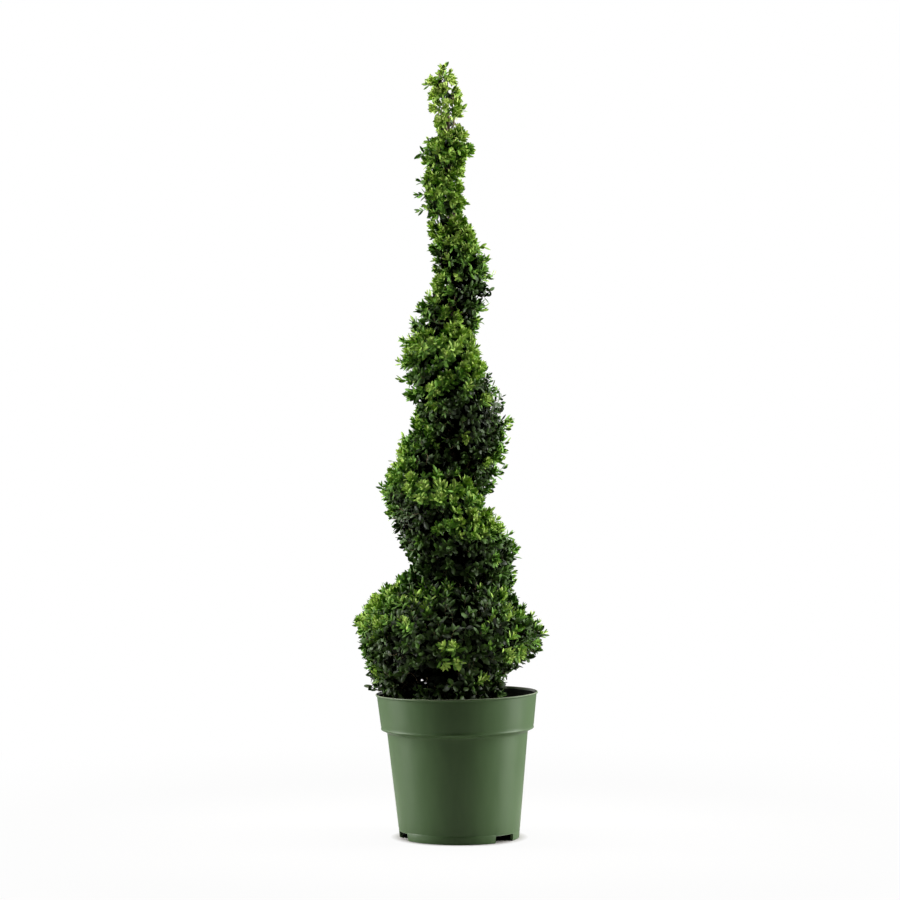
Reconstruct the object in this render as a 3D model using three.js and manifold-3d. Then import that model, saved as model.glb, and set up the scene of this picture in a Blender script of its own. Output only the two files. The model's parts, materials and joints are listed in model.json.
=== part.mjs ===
// A box shrub clipped into a spiral, growing in a round nursery pot.
//
// Millimetres, +Z up, -Y to the front. The origin is the centre of the pot's underside, on the ground.
// The foliage winds down one trunk as a ramp that turns left-handed: seen from the front it falls
// from left to right. Each turn of the ramp is one mass with a dense core and sprays of leaves on it.
import * as THREE from 'three';
import { mergeVertices } from 'three/addons/utils/BufferGeometryUtils.js';
import Module from 'manifold-3d';

const wasm = await Module();
wasm.setup();
const { Manifold, Mesh: SolidMesh } = wasm;

// ---------------------------------------------------------------- driving dimensions

const TURN = 2 * Math.PI;
const CLEARANCE = 0.35; // between solids that touch or rest on each other
const WELD = 1e-3; // corners of a geometry nearer than this become one

const POT = {
  height: 250,
  rimRadius: 140,
  collarFoot: { z: 190, radius: 132 },
  bodyTop: { z: 183, radius: 122 },
  baseRadius: 103.5,
  wall: 2.6,
  lip: 1.2, // how far the rolled rim stands out
  padRadius: 62, // the middle of the base, which stands on the ground inside the drain channel
  channelHeight: 14,
  notches: { count: 3, first: -41, span: 25, height: 12 }, // first and span in degrees, 0 is +X
  lean: 0.0195, // sideways shift towards -X for each millimetre of height
  segments: 40,
};
const SOIL_TOP = 222;

const TRUNK = {
  top: 1318,
  footRadius: 10.5,
  tipRadius: 2.2,
  flare: { radius: 6, height: 22 }, // root flare: extra radius at the soil, and how fast it fades
  foot: { x: -5, y: 3 },
  drift: { x: -16, y: -3 }, // how far the tip stands from the foot
  sway: { x: 2.5, xWaves: 1.6, y: 4, yWaves: 0.95 },
  sides: 10,
  ringSpacing: 38,
  lowRings: 0.2, // how much closer the rings lie at the flare
};

// The ramp, turn by turn from the top. Each entry is [height, radius from the trunk's axis].
// "ridge" is the outer edge of the turn and "hollow" the clipped groove under it; each has its
// left and its right, and between those both follow the winding.
const TURNS = [
  { name: 'foliage_tip', ridge: [[1300, 35], [1266, 26]], hollow: [[1230, 17], [1234, 13]] },
  { name: 'foliage_tuft_upper', ridge: [[1188, 46], [1200, 42]], hollow: [[1158, 38], [1150, 12]] },
  { name: 'foliage_tuft_lower', ridge: [[1108, 54], [1108, 26]], hollow: [[1064, 34], [1078, 12]] },
  { name: 'foliage_turn_upper', ridge: [[1030, 36], [985, 70]], hollow: [[970, 16], [868, 32]] },
  { name: 'foliage_turn_middle', ridge: [[822, 88], [694, 98]], hollow: [[742, 50], [583, 34]] },
  { name: 'foliage_turn_lower', ridge: [[598, 121], [500, 106]], hollow: [[470, 62], [426, 90]] },
  { name: 'foliage_skirt', ridge: [[374, 175], [344, 152]], hollow: [[310, 152], [284, 84]] },
  { name: 'foliage_foot', ridge: [[277, 160], [250, 84]], hollow: [[226, 98], [226, 66]] },
];
const CROWN_TOP = [1334, 8]; // where the first turn closes over the tip of the trunk
const CROWN_END = { ridge: [232, 60], hollow: [226, 50] }; // where the last turn runs out
const HIGHEST_LEAF = 1341;
const LEADER_SUNK = 6; // how deep the highest leaf is rooted in the first turn

// How round the ramp is: exponents of the sine that leads from a hollow out to the ridge.
const SHOULDER = 1.0; // above the ridge
const BELLY = 0.7; // below it

const CORE = {
  depth: 13, // how far the core stays under the leaf tips
  depthShare: 0.3, // but no more than this share of the radius
  leastWall: 3,
  gap: 0.6, // above and below, to the turns over and under it
  sections: 18,
  profileSteps: 6,
};

const SPRAY = {
  area: 4900, // square millimetres of foliage surface for each spray
  extra: 4, // sprays on even the smallest turn
  lowest: 0.1, // the first and the last spray's share of the turn's height
  highest: 0.96,
  crowding: 0.75, // below 1 puts more of them on the broad upper side
  seed: 71,
  stand: 7, // how far the twig stands out of the core
  sunk: 6,
  twigRadius: 2,
  least: 0.62, // the smallest spray, next to the largest
  lift: 0.25, // how much a spray turns up from the way the surface faces
  wander: 0.3,
  leafSizes: [0.9, 1.1], // the smallest and the largest leaf of a pair, next to the pair's scale
  pairs: [
    { place: 0.4, splay: 2.6, scale: 1 }, // splay is how far a leaf leans out for each step along
    { place: 0.85, splay: 1.3, scale: 0.75 },
  ],
};
const LEAF = { length: 36, width: 17, thickness: 1.7, rootSunk: 3.6 };
// How far a leaf keeps inside its mass's borders, may stand out of its outline, and clears the rim.
const SPACE = { gap: 0.9, overshoot: 6, overRim: 1 };

// ---------------------------------------------------------------- solids

// A closed three.js geometry as a solid.
function solidOf(geometry) {
  const bare = geometry.clone();
  bare.deleteAttribute('normal');
  bare.deleteAttribute('uv');
  const merged = mergeVertices(bare, WELD);
  return new Manifold(
    new SolidMesh({
      numProp: 3,
      vertProperties: new Float32Array(merged.attributes.position.array),
      triVerts: new Uint32Array(merged.index.array),
    }),
  );
}

// A solid as a three.js geometry.
function geometryOf(solid) {
  const { vertProperties, triVerts } = solid.getMesh();
  const geometry = new THREE.BufferGeometry();
  geometry.setAttribute('position', new THREE.BufferAttribute(vertProperties, 3));
  geometry.setIndex(new THREE.BufferAttribute(triVerts, 1));
  geometry.computeVertexNormals();
  return geometry;
}

// The largest closed body of a solid: scraps and sealed hollows are left out.
function largestBody(solid) {
  const bodies = solid.decompose();
  return bodies.reduce((a, b) => (b.volume() > a.volume() ? b : a));
}

// Skins a row of closed loops that all have the same number of points. outline(i) gives loop i's
// points in the flat, which its end cap is cut to. Each side is split into two triangles, and the
// side that closes the loop is split the other way, so that a ramp's top fits its own underside.
function loft(loops, outline) {
  const count = loops[0].length;
  const corners = loops.flat().flatMap((p) => [p.x, p.y, p.z]);
  const faces = [];
  for (let i = 0; i + 1 < loops.length; i++) {
    for (let j = 0; j < count; j++) {
      const a = i * count + j;
      const b = i * count + ((j + 1) % count);
      const closing = j === count - 1;
      faces.push(a, b, closing ? a + count : b + count);
      faces.push(closing ? b : a, b + count, a + count);
    }
  }
  const last = loops.length - 1;
  faces.push(...cap(outline(0)).reverse());
  faces.push(...cap(outline(last)).map((j) => j + last * count));
  const geometry = new THREE.BufferGeometry();
  geometry.setAttribute('position', new THREE.Float32BufferAttribute(corners, 3));
  geometry.setIndex(faces);
  return geometry;
}

// Triangles that fill a flat outline, each wound the way that the outline runs.
function cap(points) {
  const way = Math.sign(THREE.ShapeUtils.area(points));
  return THREE.ShapeUtils.triangulateShape(points, []).flatMap(([a, b, c]) => {
    const turned = THREE.ShapeUtils.area([points[a], points[b], points[c]]);
    return Math.sign(turned) === way ? [a, b, c] : [a, c, b];
  });
}

function mesh(name, geometry, material) {
  const made = new THREE.Mesh(geometry, material);
  made.name = name;
  return made;
}

// Numbers from 0 to 1 that are the same each time.
function seededRandom(seed) {
  let state = seed;
  return () => {
    state = (state + 0x6d2b79f5) | 0;
    let t = Math.imul(state ^ (state >>> 15), 1 | state);
    t = (t + Math.imul(t ^ (t >>> 7), 61 | t)) ^ t;
    return ((t ^ (t >>> 14)) >>> 0) / 4294967296;
  };
}

// ---------------------------------------------------------------- pot and soil

// The pot's walls lean a little, while its base stays flat on the ground.
function leaned(geometry) {
  const place = geometry.attributes.position;
  for (let i = 0; i < place.count; i++) {
    const x = place.getX(i);
    const z = place.getZ(i);
    place.setX(i, x - POT.lean * z);
    place.setZ(i, z + (POT.lean * x * z) / POT.height);
  }
  return geometry;
}

function turned(profile) {
  const points = profile.map(([radius, z]) => new THREE.Vector2(radius, z));
  return leaned(new THREE.LatheGeometry(points, POT.segments).rotateX(Math.PI / 2));
}

// The inside of the pot from its floor to its rim, as [radius, z], grown inwards by a gap.
function potInside(gap) {
  const { wall, padRadius, channelHeight, baseRadius, bodyTop, collarFoot, rimRadius, height } = POT;
  return [
    [0, wall + gap],
    [padRadius - wall, wall + gap],
    [padRadius + wall - gap, channelHeight + wall + gap],
    [baseRadius - wall - gap, channelHeight + wall + gap],
    [bodyTop.radius - wall - gap, bodyTop.z],
    [collarFoot.radius - wall - gap, collarFoot.z + wall],
    [rimRadius - wall - gap, height],
  ];
}

function makePot() {
  const { height, rimRadius, collarFoot, bodyTop, baseRadius, wall, lip, padRadius, channelHeight } = POT;
  const outside = [
    [0, 0],
    [padRadius, 0],
    [padRadius + 2 * wall, channelHeight],
    [baseRadius - 2 * wall, channelHeight],
    [baseRadius - wall, 0],
    [baseRadius, 0],
    [bodyTop.radius, bodyTop.z],
    [collarFoot.radius, collarFoot.z],
    [rimRadius - lip, height - 4 * lip],
    [rimRadius, height - 2 * lip],
    [rimRadius - lip, height],
  ];
  const body = solidOf(turned([...outside, ...potInside(0).reverse()]));
  return cutNotches(body);
}

// Drain notches through the foot ring, under the walls.
function cutNotches(body) {
  const { count, first, span, height } = POT.notches;
  const width = 2 * POT.baseRadius * Math.sin(THREE.MathUtils.degToRad(span / 2));
  const depth = 4 * POT.wall;
  const cutters = [];
  for (let i = 0; i < count; i++) {
    const box = new THREE.BoxGeometry(depth, width, 2 * height);
    box.translate(POT.baseRadius - POT.wall, 0, 0);
    box.rotateZ(THREE.MathUtils.degToRad(first) + (i * TURN) / count);
    cutters.push(solidOf(box));
  }
  return body.subtract(Manifold.union(cutters));
}

function makeSoil() {
  const inside = solidOf(turned([...potInside(CLEARANCE), [0, POT.height]]));
  const width = 3 * POT.rimRadius;
  const level = new THREE.BoxGeometry(width, width, SOIL_TOP).translate(0, 0, SOIL_TOP / 2);
  return inside.intersect(solidOf(level));
}

// True where a point is above the rim, or inside the pot and above the soil.
function clearOfPot({ x, y, z }) {
  if (z < SOIL_TOP + CLEARANCE) return false;
  const straight = x + POT.lean * z;
  if (z > POT.height + POT.lean * straight + SPACE.overRim) return true;
  const { rimRadius, collarFoot, height, wall } = POT;
  const up = (z - collarFoot.z) / (height - collarFoot.z);
  const inner = THREE.MathUtils.lerp(collarFoot.radius, rimRadius, up) - 2 * wall;
  return Math.hypot(straight, y) < inner;
}

// ---------------------------------------------------------------- trunk

function trunkAxis(z) {
  const h = (z - SOIL_TOP) / (TRUNK.top - SOIL_TOP);
  const { foot, drift, sway } = TRUNK;
  return {
    x: foot.x + drift.x * h + sway.x * Math.sin(TURN * sway.xWaves * h),
    y: foot.y + drift.y * h + sway.y * Math.sin(TURN * sway.yWaves * h),
  };
}

function trunkRadius(z) {
  const h = (z - SOIL_TOP) / (TRUNK.top - SOIL_TOP);
  const flare = TRUNK.flare.radius * Math.exp((SOIL_TOP - z) / TRUNK.flare.height);
  return THREE.MathUtils.lerp(TRUNK.footRadius, TRUNK.tipRadius, Math.min(h, 1)) + flare;
}

// A point at an angle and radius from the trunk's axis at height z.
function aroundTrunk(angle, radius, z) {
  const axis = trunkAxis(z);
  return new THREE.Vector3(
    axis.x + radius * Math.cos(angle),
    axis.y + radius * Math.sin(angle),
    z,
  );
}

// The trunk, or with a gap the space that everything round it keeps clear of.
function makeTrunk(gap) {
  const foot = SOIL_TOP + CLEARANCE - gap;
  const top = TRUNK.top + gap;
  const rings = Math.ceil((top - foot) / TRUNK.ringSpacing);
  const heights = Array.from({ length: rings + 1 }, (_, i) => {
    const share = i / rings;
    return foot + (top - foot) * share * (1 - TRUNK.lowRings + TRUNK.lowRings * share);
  });
  const angles = Array.from({ length: TRUNK.sides }, (_, j) => (j * TURN) / TRUNK.sides);
  const loops = heights.map((z) => angles.map((angle) => aroundTrunk(angle, trunkRadius(z) + gap, z)));
  const flat = angles.map((angle) => new THREE.Vector2(Math.cos(angle), Math.sin(angle)));
  return solidOf(loft(loops, () => flat));
}

// ---------------------------------------------------------------- the ramp's outline

// A place on the ramp is turn + around, with around from 0 at the back, over the left (0.25),
// the front (0.5) and the right (0.75), to 1 at the back again.
const RIDGE = [CROWN_TOP, CROWN_TOP, ...TURNS.flatMap((t) => t.ridge), CROWN_END.ridge];
const HOLLOW = [CROWN_TOP, CROWN_TOP, ...TURNS.flatMap((t) => t.hollow), CROWN_END.hollow];

// A smooth curve through the rows of a table whose rows lie half a turn apart.
function followed(table, place) {
  const at = 2 * (place + 0.75);
  const row = THREE.MathUtils.clamp(Math.floor(at), 0, table.length - 2);
  const t = THREE.MathUtils.clamp(at - row, 0, 1);
  const rowAt = (i) => table[THREE.MathUtils.clamp(i, 0, table.length - 1)];
  const [before, from, to, after] = [-1, 0, 1, 2].map((step) => rowAt(row + step));
  const curve = (i) => {
    const leave = (to[i] - before[i]) / 2;
    const arrive = (after[i] - from[i]) / 2;
    const t2 = t * t;
    const t3 = t2 * t;
    return (
      (2 * t3 - 3 * t2 + 1) * from[i] + (t3 - 2 * t2 + t) * leave +
      (3 * t2 - 2 * t3) * to[i] + (t3 - t2) * arrive
    );
  };
  return { z: curve(0), radius: curve(1) };
}

// The hollow over, the ridge and the hollow under the ramp at one place.
function bordersAt(turn, around) {
  return {
    over: followed(HOLLOW, turn + around - 1),
    ridge: followed(RIDGE, turn + around),
    under: followed(HOLLOW, turn + around),
  };
}

// How far the foliage reaches from the trunk's axis at height z.
function reachAt({ over, ridge, under }, z) {
  const above = z > ridge.z;
  const hollow = above ? over : under;
  const share = THREE.MathUtils.clamp((z - hollow.z) / (ridge.z - hollow.z), 0, 1);
  const rise = Math.sin((share * Math.PI) / 2) ** (above ? SHOULDER : BELLY);
  return hollow.radius + (ridge.radius - hollow.radius) * rise;
}

// The height at share 0 (the hollow under) to 1 (the hollow over) of a turn's profile.
function heightAt({ over, ridge, under }, share) {
  if (share < 0.5) return THREE.MathUtils.lerp(under.z, ridge.z, 2 * share);
  return THREE.MathUtils.lerp(ridge.z, over.z, 2 * share - 1);
}

const angleOf = (around) => Math.PI / 2 + around * TURN;

function coreRadius(borders, z) {
  const reach = reachAt(borders, z);
  const least = trunkRadius(z) + CLEARANCE + CORE.leastWall;
  return Math.max(reach - Math.min(CORE.depth, CORE.depthShare * reach), least);
}

// ---------------------------------------------------------------- cores

// One slice through a turn's core, as [radius, z]: down its outside, then up beside the axis.
function coreSlice(turn, around) {
  const borders = bordersAt(turn, around);
  const steps = CORE.profileSteps;
  const outside = [];
  for (let i = steps; i >= 0; i--) {
    const z = heightAt(borders, i / steps);
    outside.push([coreRadius(borders, z), z]);
  }
  outside[0][1] -= CORE.gap;
  outside[steps][1] += CORE.gap;
  const bottom = outside[steps][1];
  const top = outside[0][1];
  return [...outside, [trunkRadius(bottom) / 2, bottom], [trunkRadius(top) / 2, top]];
}

// The dense middle of one turn: a ramp once round the trunk, which is cut clear of it later.
function makeCore(turn) {
  const slices = [];
  const loops = [];
  for (let i = 0; i <= CORE.sections; i++) {
    const around = i / CORE.sections;
    const angle = angleOf(around);
    const slice = coreSlice(turn, around);
    const side = i === 0 ? CLEARANCE : i === CORE.sections ? -CLEARANCE : 0;
    const shift = new THREE.Vector3(-Math.sin(angle), Math.cos(angle), 0).multiplyScalar(side);
    slices.push(slice);
    loops.push(slice.map(([radius, z]) => aroundTrunk(angle, radius, z).add(shift)));
  }
  const flat = (i) => slices[i].map(([radius, z]) => new THREE.Vector2(radius, z));
  return solidOf(loft(loops, flat));
}

// ---------------------------------------------------------------- sprays of leaves

// True where a point lies in the space of a turn: between its hollows, on its side of the seams
// at the back, within its outline and clear of pot and soil.
function inSpace(turn, point, nearAround) {
  const axis = trunkAxis(point.z);
  const east = point.x - axis.x;
  const north = point.y - axis.y;
  const around = THREE.MathUtils.euclideanModulo((Math.atan2(north, east) - Math.PI / 2) / TURN, 1);
  if (Math.abs(around - nearAround) > 0.5) return false;
  if (Math.abs(east) < SPACE.gap && north > 0) return false;
  const borders = bordersAt(turn, around);
  if (point.z > borders.over.z - SPACE.gap && turn > 0) return false;
  if (point.z < borders.under.z + SPACE.gap || point.z > HIGHEST_LEAF) return false;
  if (Math.hypot(east, north) > reachAt(borders, point.z) + SPACE.overshoot) return false;
  return clearOfPot(point);
}

// The corners of a piece and the middles of its edges.
function pointsOn(geometry) {
  const place = geometry.attributes.position;
  const cornerAt = (_, i) => new THREE.Vector3().fromBufferAttribute(place, i);
  const corners = Array.from({ length: place.count }, cornerAt);
  const middles = corners.slice(1).map((corner, i) => corner.clone().lerp(corners[i], 0.5));
  return [...corners, ...middles];
}

// A matrix that carries +X along the given axis and +Y as near as it can to across.
function facing(origin, axis, across) {
  const x = axis.clone().normalize();
  const z = new THREE.Vector3().crossVectors(x, across).normalize();
  const y = new THREE.Vector3().crossVectors(z, x);
  return new THREE.Matrix4().makeBasis(x, y, z).setPosition(origin);
}

// One leaf: a flat eight-sided blade from its sunk root to its tip.
function leafBlade(root, axis, across, size) {
  const blade = new THREE.OctahedronGeometry(0.5).scale(LEAF.length, LEAF.width, LEAF.thickness);
  blade.translate(LEAF.length / 2 - LEAF.rootSunk, 0, 0).scale(size, size, size);
  return blade.applyMatrix4(facing(root, axis, across));
}

// The twig of a spray: three-sided, from inside the core to its tip.
function twigRod(root, axis, across, size) {
  const length = (SPRAY.stand + SPRAY.sunk) * size;
  const rod = new THREE.ConeGeometry(SPRAY.twigRadius * size, length, 3);
  rod.rotateZ(-Math.PI / 2).translate(length / 2 - SPRAY.sunk * size, 0, 0);
  return rod.applyMatrix4(facing(root, axis, across));
}

// Which way the foliage's surface faces at a place on a turn.
function surfaceNormal(turn, around, share) {
  const at = (a, s) => {
    const borders = bordersAt(turn, a);
    const z = heightAt(borders, s);
    return aroundTrunk(angleOf(a), reachAt(borders, z), z);
  };
  const step = 0.01; // of a turn, and of its height
  const along = at(around + step, share).sub(at(around - step, share));
  const up = at(around, share + step).sub(at(around, share - step));
  return new THREE.Vector3().crossVectors(along, up).normalize();
}

// A twig with opposite pairs of leaves, each pair turned a quarter from the last. Pieces that
// would leave the turn's space are skipped.
function makeSpray(turn, around, share, random) {
  const borders = bordersAt(turn, around);
  const z = heightAt(borders, share);
  const inner = coreRadius(borders, z);
  const root = aroundTrunk(angleOf(around), inner, z);
  const size = THREE.MathUtils.clamp((reachAt(borders, z) - inner) / CORE.depth, SPRAY.least, 1);
  const axis = surfaceNormal(turn, around, share);
  axis.x += (random() - 0.5) * SPRAY.wander;
  axis.y += (random() - 0.5) * SPRAY.wander;
  axis.z += SPRAY.lift;
  axis.normalize();
  const side = new THREE.Vector3(-axis.y, axis.x, 0).normalize().applyAxisAngle(axis, random() * TURN);
  const pieces = [twigRod(root, axis, side, size)];
  SPRAY.pairs.forEach(({ place, splay, scale }, i) => {
    const foot = root.clone().addScaledVector(axis, SPRAY.stand * size * place);
    const out = side.clone().applyAxisAngle(axis, (i * TURN) / 4);
    const across = new THREE.Vector3().crossVectors(axis, out);
    for (const way of [1, -1]) {
      const blade = axis.clone().addScaledVector(out, way * splay);
      const own = THREE.MathUtils.lerp(...SPRAY.leafSizes, random());
      pieces.push(leafBlade(foot, blade, across, size * scale * own));
    }
  });
  return pieces.filter((piece) => pointsOn(piece).every((p) => inSpace(turn, p, around)));
}

// Sprays spread evenly over a turn by the golden ratio.
function makeSprays(turn, random) {
  const golden = (Math.sqrt(5) - 1) / 2;
  const { over, ridge, under } = bordersAt(turn, 0.5);
  const slope = over.z - under.z + 2 * ridge.radius - over.radius - under.radius;
  const count = Math.round((TURN * ridge.radius * slope) / SPRAY.area) + SPRAY.extra;
  const sprays = [];
  for (let i = 0; i < count; i++) {
    const around = ((i + 0.5) * golden) % 1;
    const risen = ((i + 0.5) / count) ** SPRAY.crowding;
    const share = THREE.MathUtils.lerp(SPRAY.lowest, SPRAY.highest, risen);
    sprays.push(...makeSpray(turn, around, share, random));
  }
  return sprays.map(solidOf);
}

// The leader: one upright leaf on the first turn, which is the plant's highest point.
function leaderLeaf() {
  const [top] = CROWN_TOP;
  const radius = TRUNK.tipRadius + CLEARANCE + CORE.leastWall / 2;
  const foot = aroundTrunk(angleOf(0.5), radius, top - LEADER_SUNK);
  const size = (HIGHEST_LEAF - foot.z) / (LEAF.length - LEAF.rootSunk);
  return solidOf(leafBlade(foot, new THREE.Vector3(0, 0, 1), new THREE.Vector3(1, 0, 0), size));
}

function makeMass(turn, trunkSpace) {
  const random = seededRandom(SPRAY.seed + turn);
  const pieces = [makeCore(turn), ...makeSprays(turn, random)];
  if (turn === 0) pieces.push(leaderLeaf());
  return largestBody(Manifold.union(pieces).subtract(trunkSpace));
}

// ---------------------------------------------------------------- the whole plant

function look(color, roughness) {
  return new THREE.MeshStandardMaterial({ color, roughness, metalness: 0 });
}

const topiary = new THREE.Group();
const trunkSpace = makeTrunk(CLEARANCE);
topiary.add(mesh('pot', geometryOf(makePot()), look(0x5d7a56, 0.5)));
topiary.add(mesh('potting_soil', geometryOf(makeSoil()), look(0x2a2019, 0.95)));
topiary.add(mesh('trunk', geometryOf(makeTrunk(0)), look(0x6b5844, 0.85)));
TURNS.forEach(({ name }, turn) => {
  topiary.add(mesh(name, geometryOf(makeMass(turn, trunkSpace)), look(0x2f5a1c, 0.55)));
});

export default topiary;
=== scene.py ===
# %% [markdown]
# # A shrub clipped into a spiral, in its nursery pot
#
# The real thing is a small-leaved evergreen that a grower has clipped for years round one straight
# stem. Shears cut a groove that winds down the cone, and what is left is a ramp of dense leaves.
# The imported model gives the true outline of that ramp, the trunk, the pot and the soil. This
# lesson puts the finish on: tens of thousands of small leaves on shoots, twigs and boughs, bark
# with relief, a moulded pot and crumbly soil. Every length is in metres unless a name says MM.

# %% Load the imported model
import json
import math

import bmesh
import bpy
import numpy as np
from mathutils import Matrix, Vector, noise

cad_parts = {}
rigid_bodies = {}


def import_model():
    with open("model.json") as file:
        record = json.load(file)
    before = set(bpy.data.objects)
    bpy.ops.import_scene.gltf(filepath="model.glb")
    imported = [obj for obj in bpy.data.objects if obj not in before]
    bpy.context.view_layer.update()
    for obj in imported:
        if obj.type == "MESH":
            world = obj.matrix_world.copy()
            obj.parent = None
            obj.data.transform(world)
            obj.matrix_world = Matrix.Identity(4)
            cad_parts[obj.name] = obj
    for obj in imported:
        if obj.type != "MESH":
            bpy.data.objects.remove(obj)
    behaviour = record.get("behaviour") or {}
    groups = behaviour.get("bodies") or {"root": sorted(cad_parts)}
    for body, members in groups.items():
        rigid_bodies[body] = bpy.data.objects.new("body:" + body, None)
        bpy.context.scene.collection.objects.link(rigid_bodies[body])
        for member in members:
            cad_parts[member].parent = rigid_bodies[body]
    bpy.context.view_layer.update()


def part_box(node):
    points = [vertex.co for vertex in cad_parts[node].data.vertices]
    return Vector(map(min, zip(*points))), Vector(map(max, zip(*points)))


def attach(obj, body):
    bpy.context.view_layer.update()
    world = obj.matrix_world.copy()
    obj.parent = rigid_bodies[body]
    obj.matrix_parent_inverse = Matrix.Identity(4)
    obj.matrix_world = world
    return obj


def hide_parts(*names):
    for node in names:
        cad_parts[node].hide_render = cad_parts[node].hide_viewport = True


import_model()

# %% [markdown]
# ## The measures that the whole plant shares
#
# The pot and the soil tell where the trunk starts, so those heights are read from the packed
# nodes. The trunk's line and the ramp's winding are the same rule that the solids follow: a table
# of each turn's outer edge ("ridge") and of the groove under it ("hollow"), at its left and its
# right. One smooth curve through each table then gives the outline at every angle.

# %% Trunk and ramp, from the top down
MM = 0.001
FULL_TURN = 2 * math.pi
SOIL_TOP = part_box("potting_soil")[1][2]
TRUNK_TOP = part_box("trunk")[1][2]
PLANT_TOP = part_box("foliage_tip")[1][2]

TRUNK_FOOT = np.array([-5.0, 3.0]) * MM
TRUNK_DRIFT = np.array([-16.0, -3.0]) * MM
TRUNK_SWAY = np.array([2.5, 4.0]) * MM
TRUNK_WAVES = np.array([1.6, 0.95])
TRUNK_FOOT_RADIUS = 10.5 * MM
TRUNK_TIP_RADIUS = 2.2 * MM
FLARE_RADIUS = 6.0 * MM
FLARE_HEIGHT = 22.0 * MM

# name: ridge [height, radius] at the left and the right, then hollow at the left and the right
TURNS = {
    "foliage_tip": ([1300, 35], [1266, 26], [1230, 17], [1234, 13]),
    "foliage_tuft_upper": ([1188, 46], [1200, 42], [1158, 38], [1150, 12]),
    "foliage_tuft_lower": ([1108, 54], [1108, 26], [1064, 34], [1078, 12]),
    "foliage_turn_upper": ([1030, 36], [985, 70], [970, 16], [868, 32]),
    "foliage_turn_middle": ([822, 88], [694, 98], [742, 50], [583, 34]),
    "foliage_turn_lower": ([598, 121], [500, 106], [470, 62], [426, 90]),
    "foliage_skirt": ([374, 175], [344, 152], [310, 152], [284, 84]),
    "foliage_foot": ([277, 160], [250, 84], [226, 98], [226, 66]),
}
CROWN_TOP = [1334, 8]
CROWN_END_RIDGE = [232, 60]
CROWN_END_HOLLOW = [226, 50]
SHOULDER = 1.0
BELLY = 0.7

WINDING_START = -0.75  # in turns: where the first row of each table lies


def winding(first):
    """The table of one border of the ramp, a row for each half turn, in metres."""
    rows = [CROWN_TOP, CROWN_TOP]
    for measures in TURNS.values():
        rows += measures[first:first + 2]
    rows.append(CROWN_END_HOLLOW if first else CROWN_END_RIDGE)
    return np.array(rows, dtype=float) * MM


RIDGE = winding(0)
HOLLOW = winding(2)
print("turns:", list(TURNS), "trunk from", SOIL_TOP, "to", TRUNK_TOP)


# %% The rule that the solids follow, for whole arrays of places
def ramp(value, start, width):
    """0 up to start, then rising to 1 over the width. A negative width runs downwards."""
    return np.clip((value - start) / width, 0, 1)


def trunk_axis(z):
    """The middle of the trunk at heights z."""
    h = (np.asarray(z) - SOIL_TOP) / (TRUNK_TOP - SOIL_TOP)
    sway = TRUNK_SWAY * np.sin(FULL_TURN * TRUNK_WAVES * h[..., None])
    flat = TRUNK_FOOT + TRUNK_DRIFT * h[..., None] + sway
    return np.concatenate([flat, np.asarray(z)[..., None]], axis=-1)


def trunk_radius(z):
    h = ramp(np.asarray(z), SOIL_TOP, TRUNK_TOP - SOIL_TOP)
    flare = FLARE_RADIUS * np.exp((SOIL_TOP - z) / FLARE_HEIGHT)
    return TRUNK_FOOT_RADIUS + (TRUNK_TIP_RADIUS - TRUNK_FOOT_RADIUS) * h + flare


def polar(radius, angle, z):
    """Points from their distance and direction from the middle, and their height."""
    return np.stack(np.broadcast_arrays(radius * np.cos(angle), radius * np.sin(angle), z), axis=-1)


def around_trunk(angle, radius, z):
    return trunk_axis(z) + polar(radius, angle, 0)


def followed(table, place):
    """A smooth curve through a table whose rows lie half a turn apart: [height, radius]."""
    at = 2 * (np.asarray(place) - WINDING_START)
    row = np.clip(np.floor(at).astype(int), 0, len(table) - 2)
    t = np.clip(at - row, 0, 1)[..., None]
    before, start, end, after = [table[np.clip(row + i, 0, len(table) - 1)] for i in (-1, 0, 1, 2)]
    leave = (end - before) / 2
    arrive = (after - start) / 2
    rising = (2 * t**3 - 3 * t**2 + 1) * start + (t**3 - 2 * t**2 + t) * leave
    return rising + (3 * t**2 - 2 * t**3) * end + (t**3 - t**2) * arrive


def borders(turn, around):
    """The hollow over, the ridge and the hollow under. around: 0 back, 0.25 left, 0.5 front."""
    place = turn + around
    return followed(HOLLOW, place - 1), followed(RIDGE, place), followed(HOLLOW, place)


def height_at(edges, share):
    over, ridge, under = [edge[..., 0] for edge in edges]
    low = under + (ridge - under) * 2 * share
    return np.where(share < 0.5, low, ridge + (over - ridge) * (2 * share - 1))


def reach_at(edges, z):
    """How far the leaves reach from the trunk's middle at heights z."""
    over, ridge, under = edges
    above = z > ridge[..., 0]
    hollow = np.where(above[..., None], over, under)
    rise = ramp(z, hollow[..., 0], ridge[..., 0] - hollow[..., 0])
    rounded = np.sin(rise * math.pi / 2) ** np.where(above, SHOULDER, BELLY)
    return hollow[..., 1] + (ridge[..., 1] - hollow[..., 1]) * rounded


def angle_of(around):
    return math.pi / 2 + np.asarray(around) * FULL_TURN


def surface(turn, around, share):
    edges = borders(turn, around)
    z = height_at(edges, share)
    return around_trunk(angle_of(around), reach_at(edges, z), z)


def unit(vectors):
    return vectors / np.maximum(np.linalg.norm(vectors, axis=-1, keepdims=True), 1e-9)


def surface_normal(turn, around, share, step=0.01):
    along = surface(turn, around + step, share) - surface(turn, around - step, share)
    up = surface(turn, around, share + step) - surface(turn, around, share - step)
    return unit(np.cross(along, up))


front = surface(4, np.array(0.5), np.array(0.5))
print("front of the middle turn's ridge:", np.round(front, 3))

# %% [markdown]
# ## Camera
#
# A long lens a little under five metres off, level with the middle of the plant. Level matters:
# a tilted camera would make the tall spiral lean back.

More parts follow.
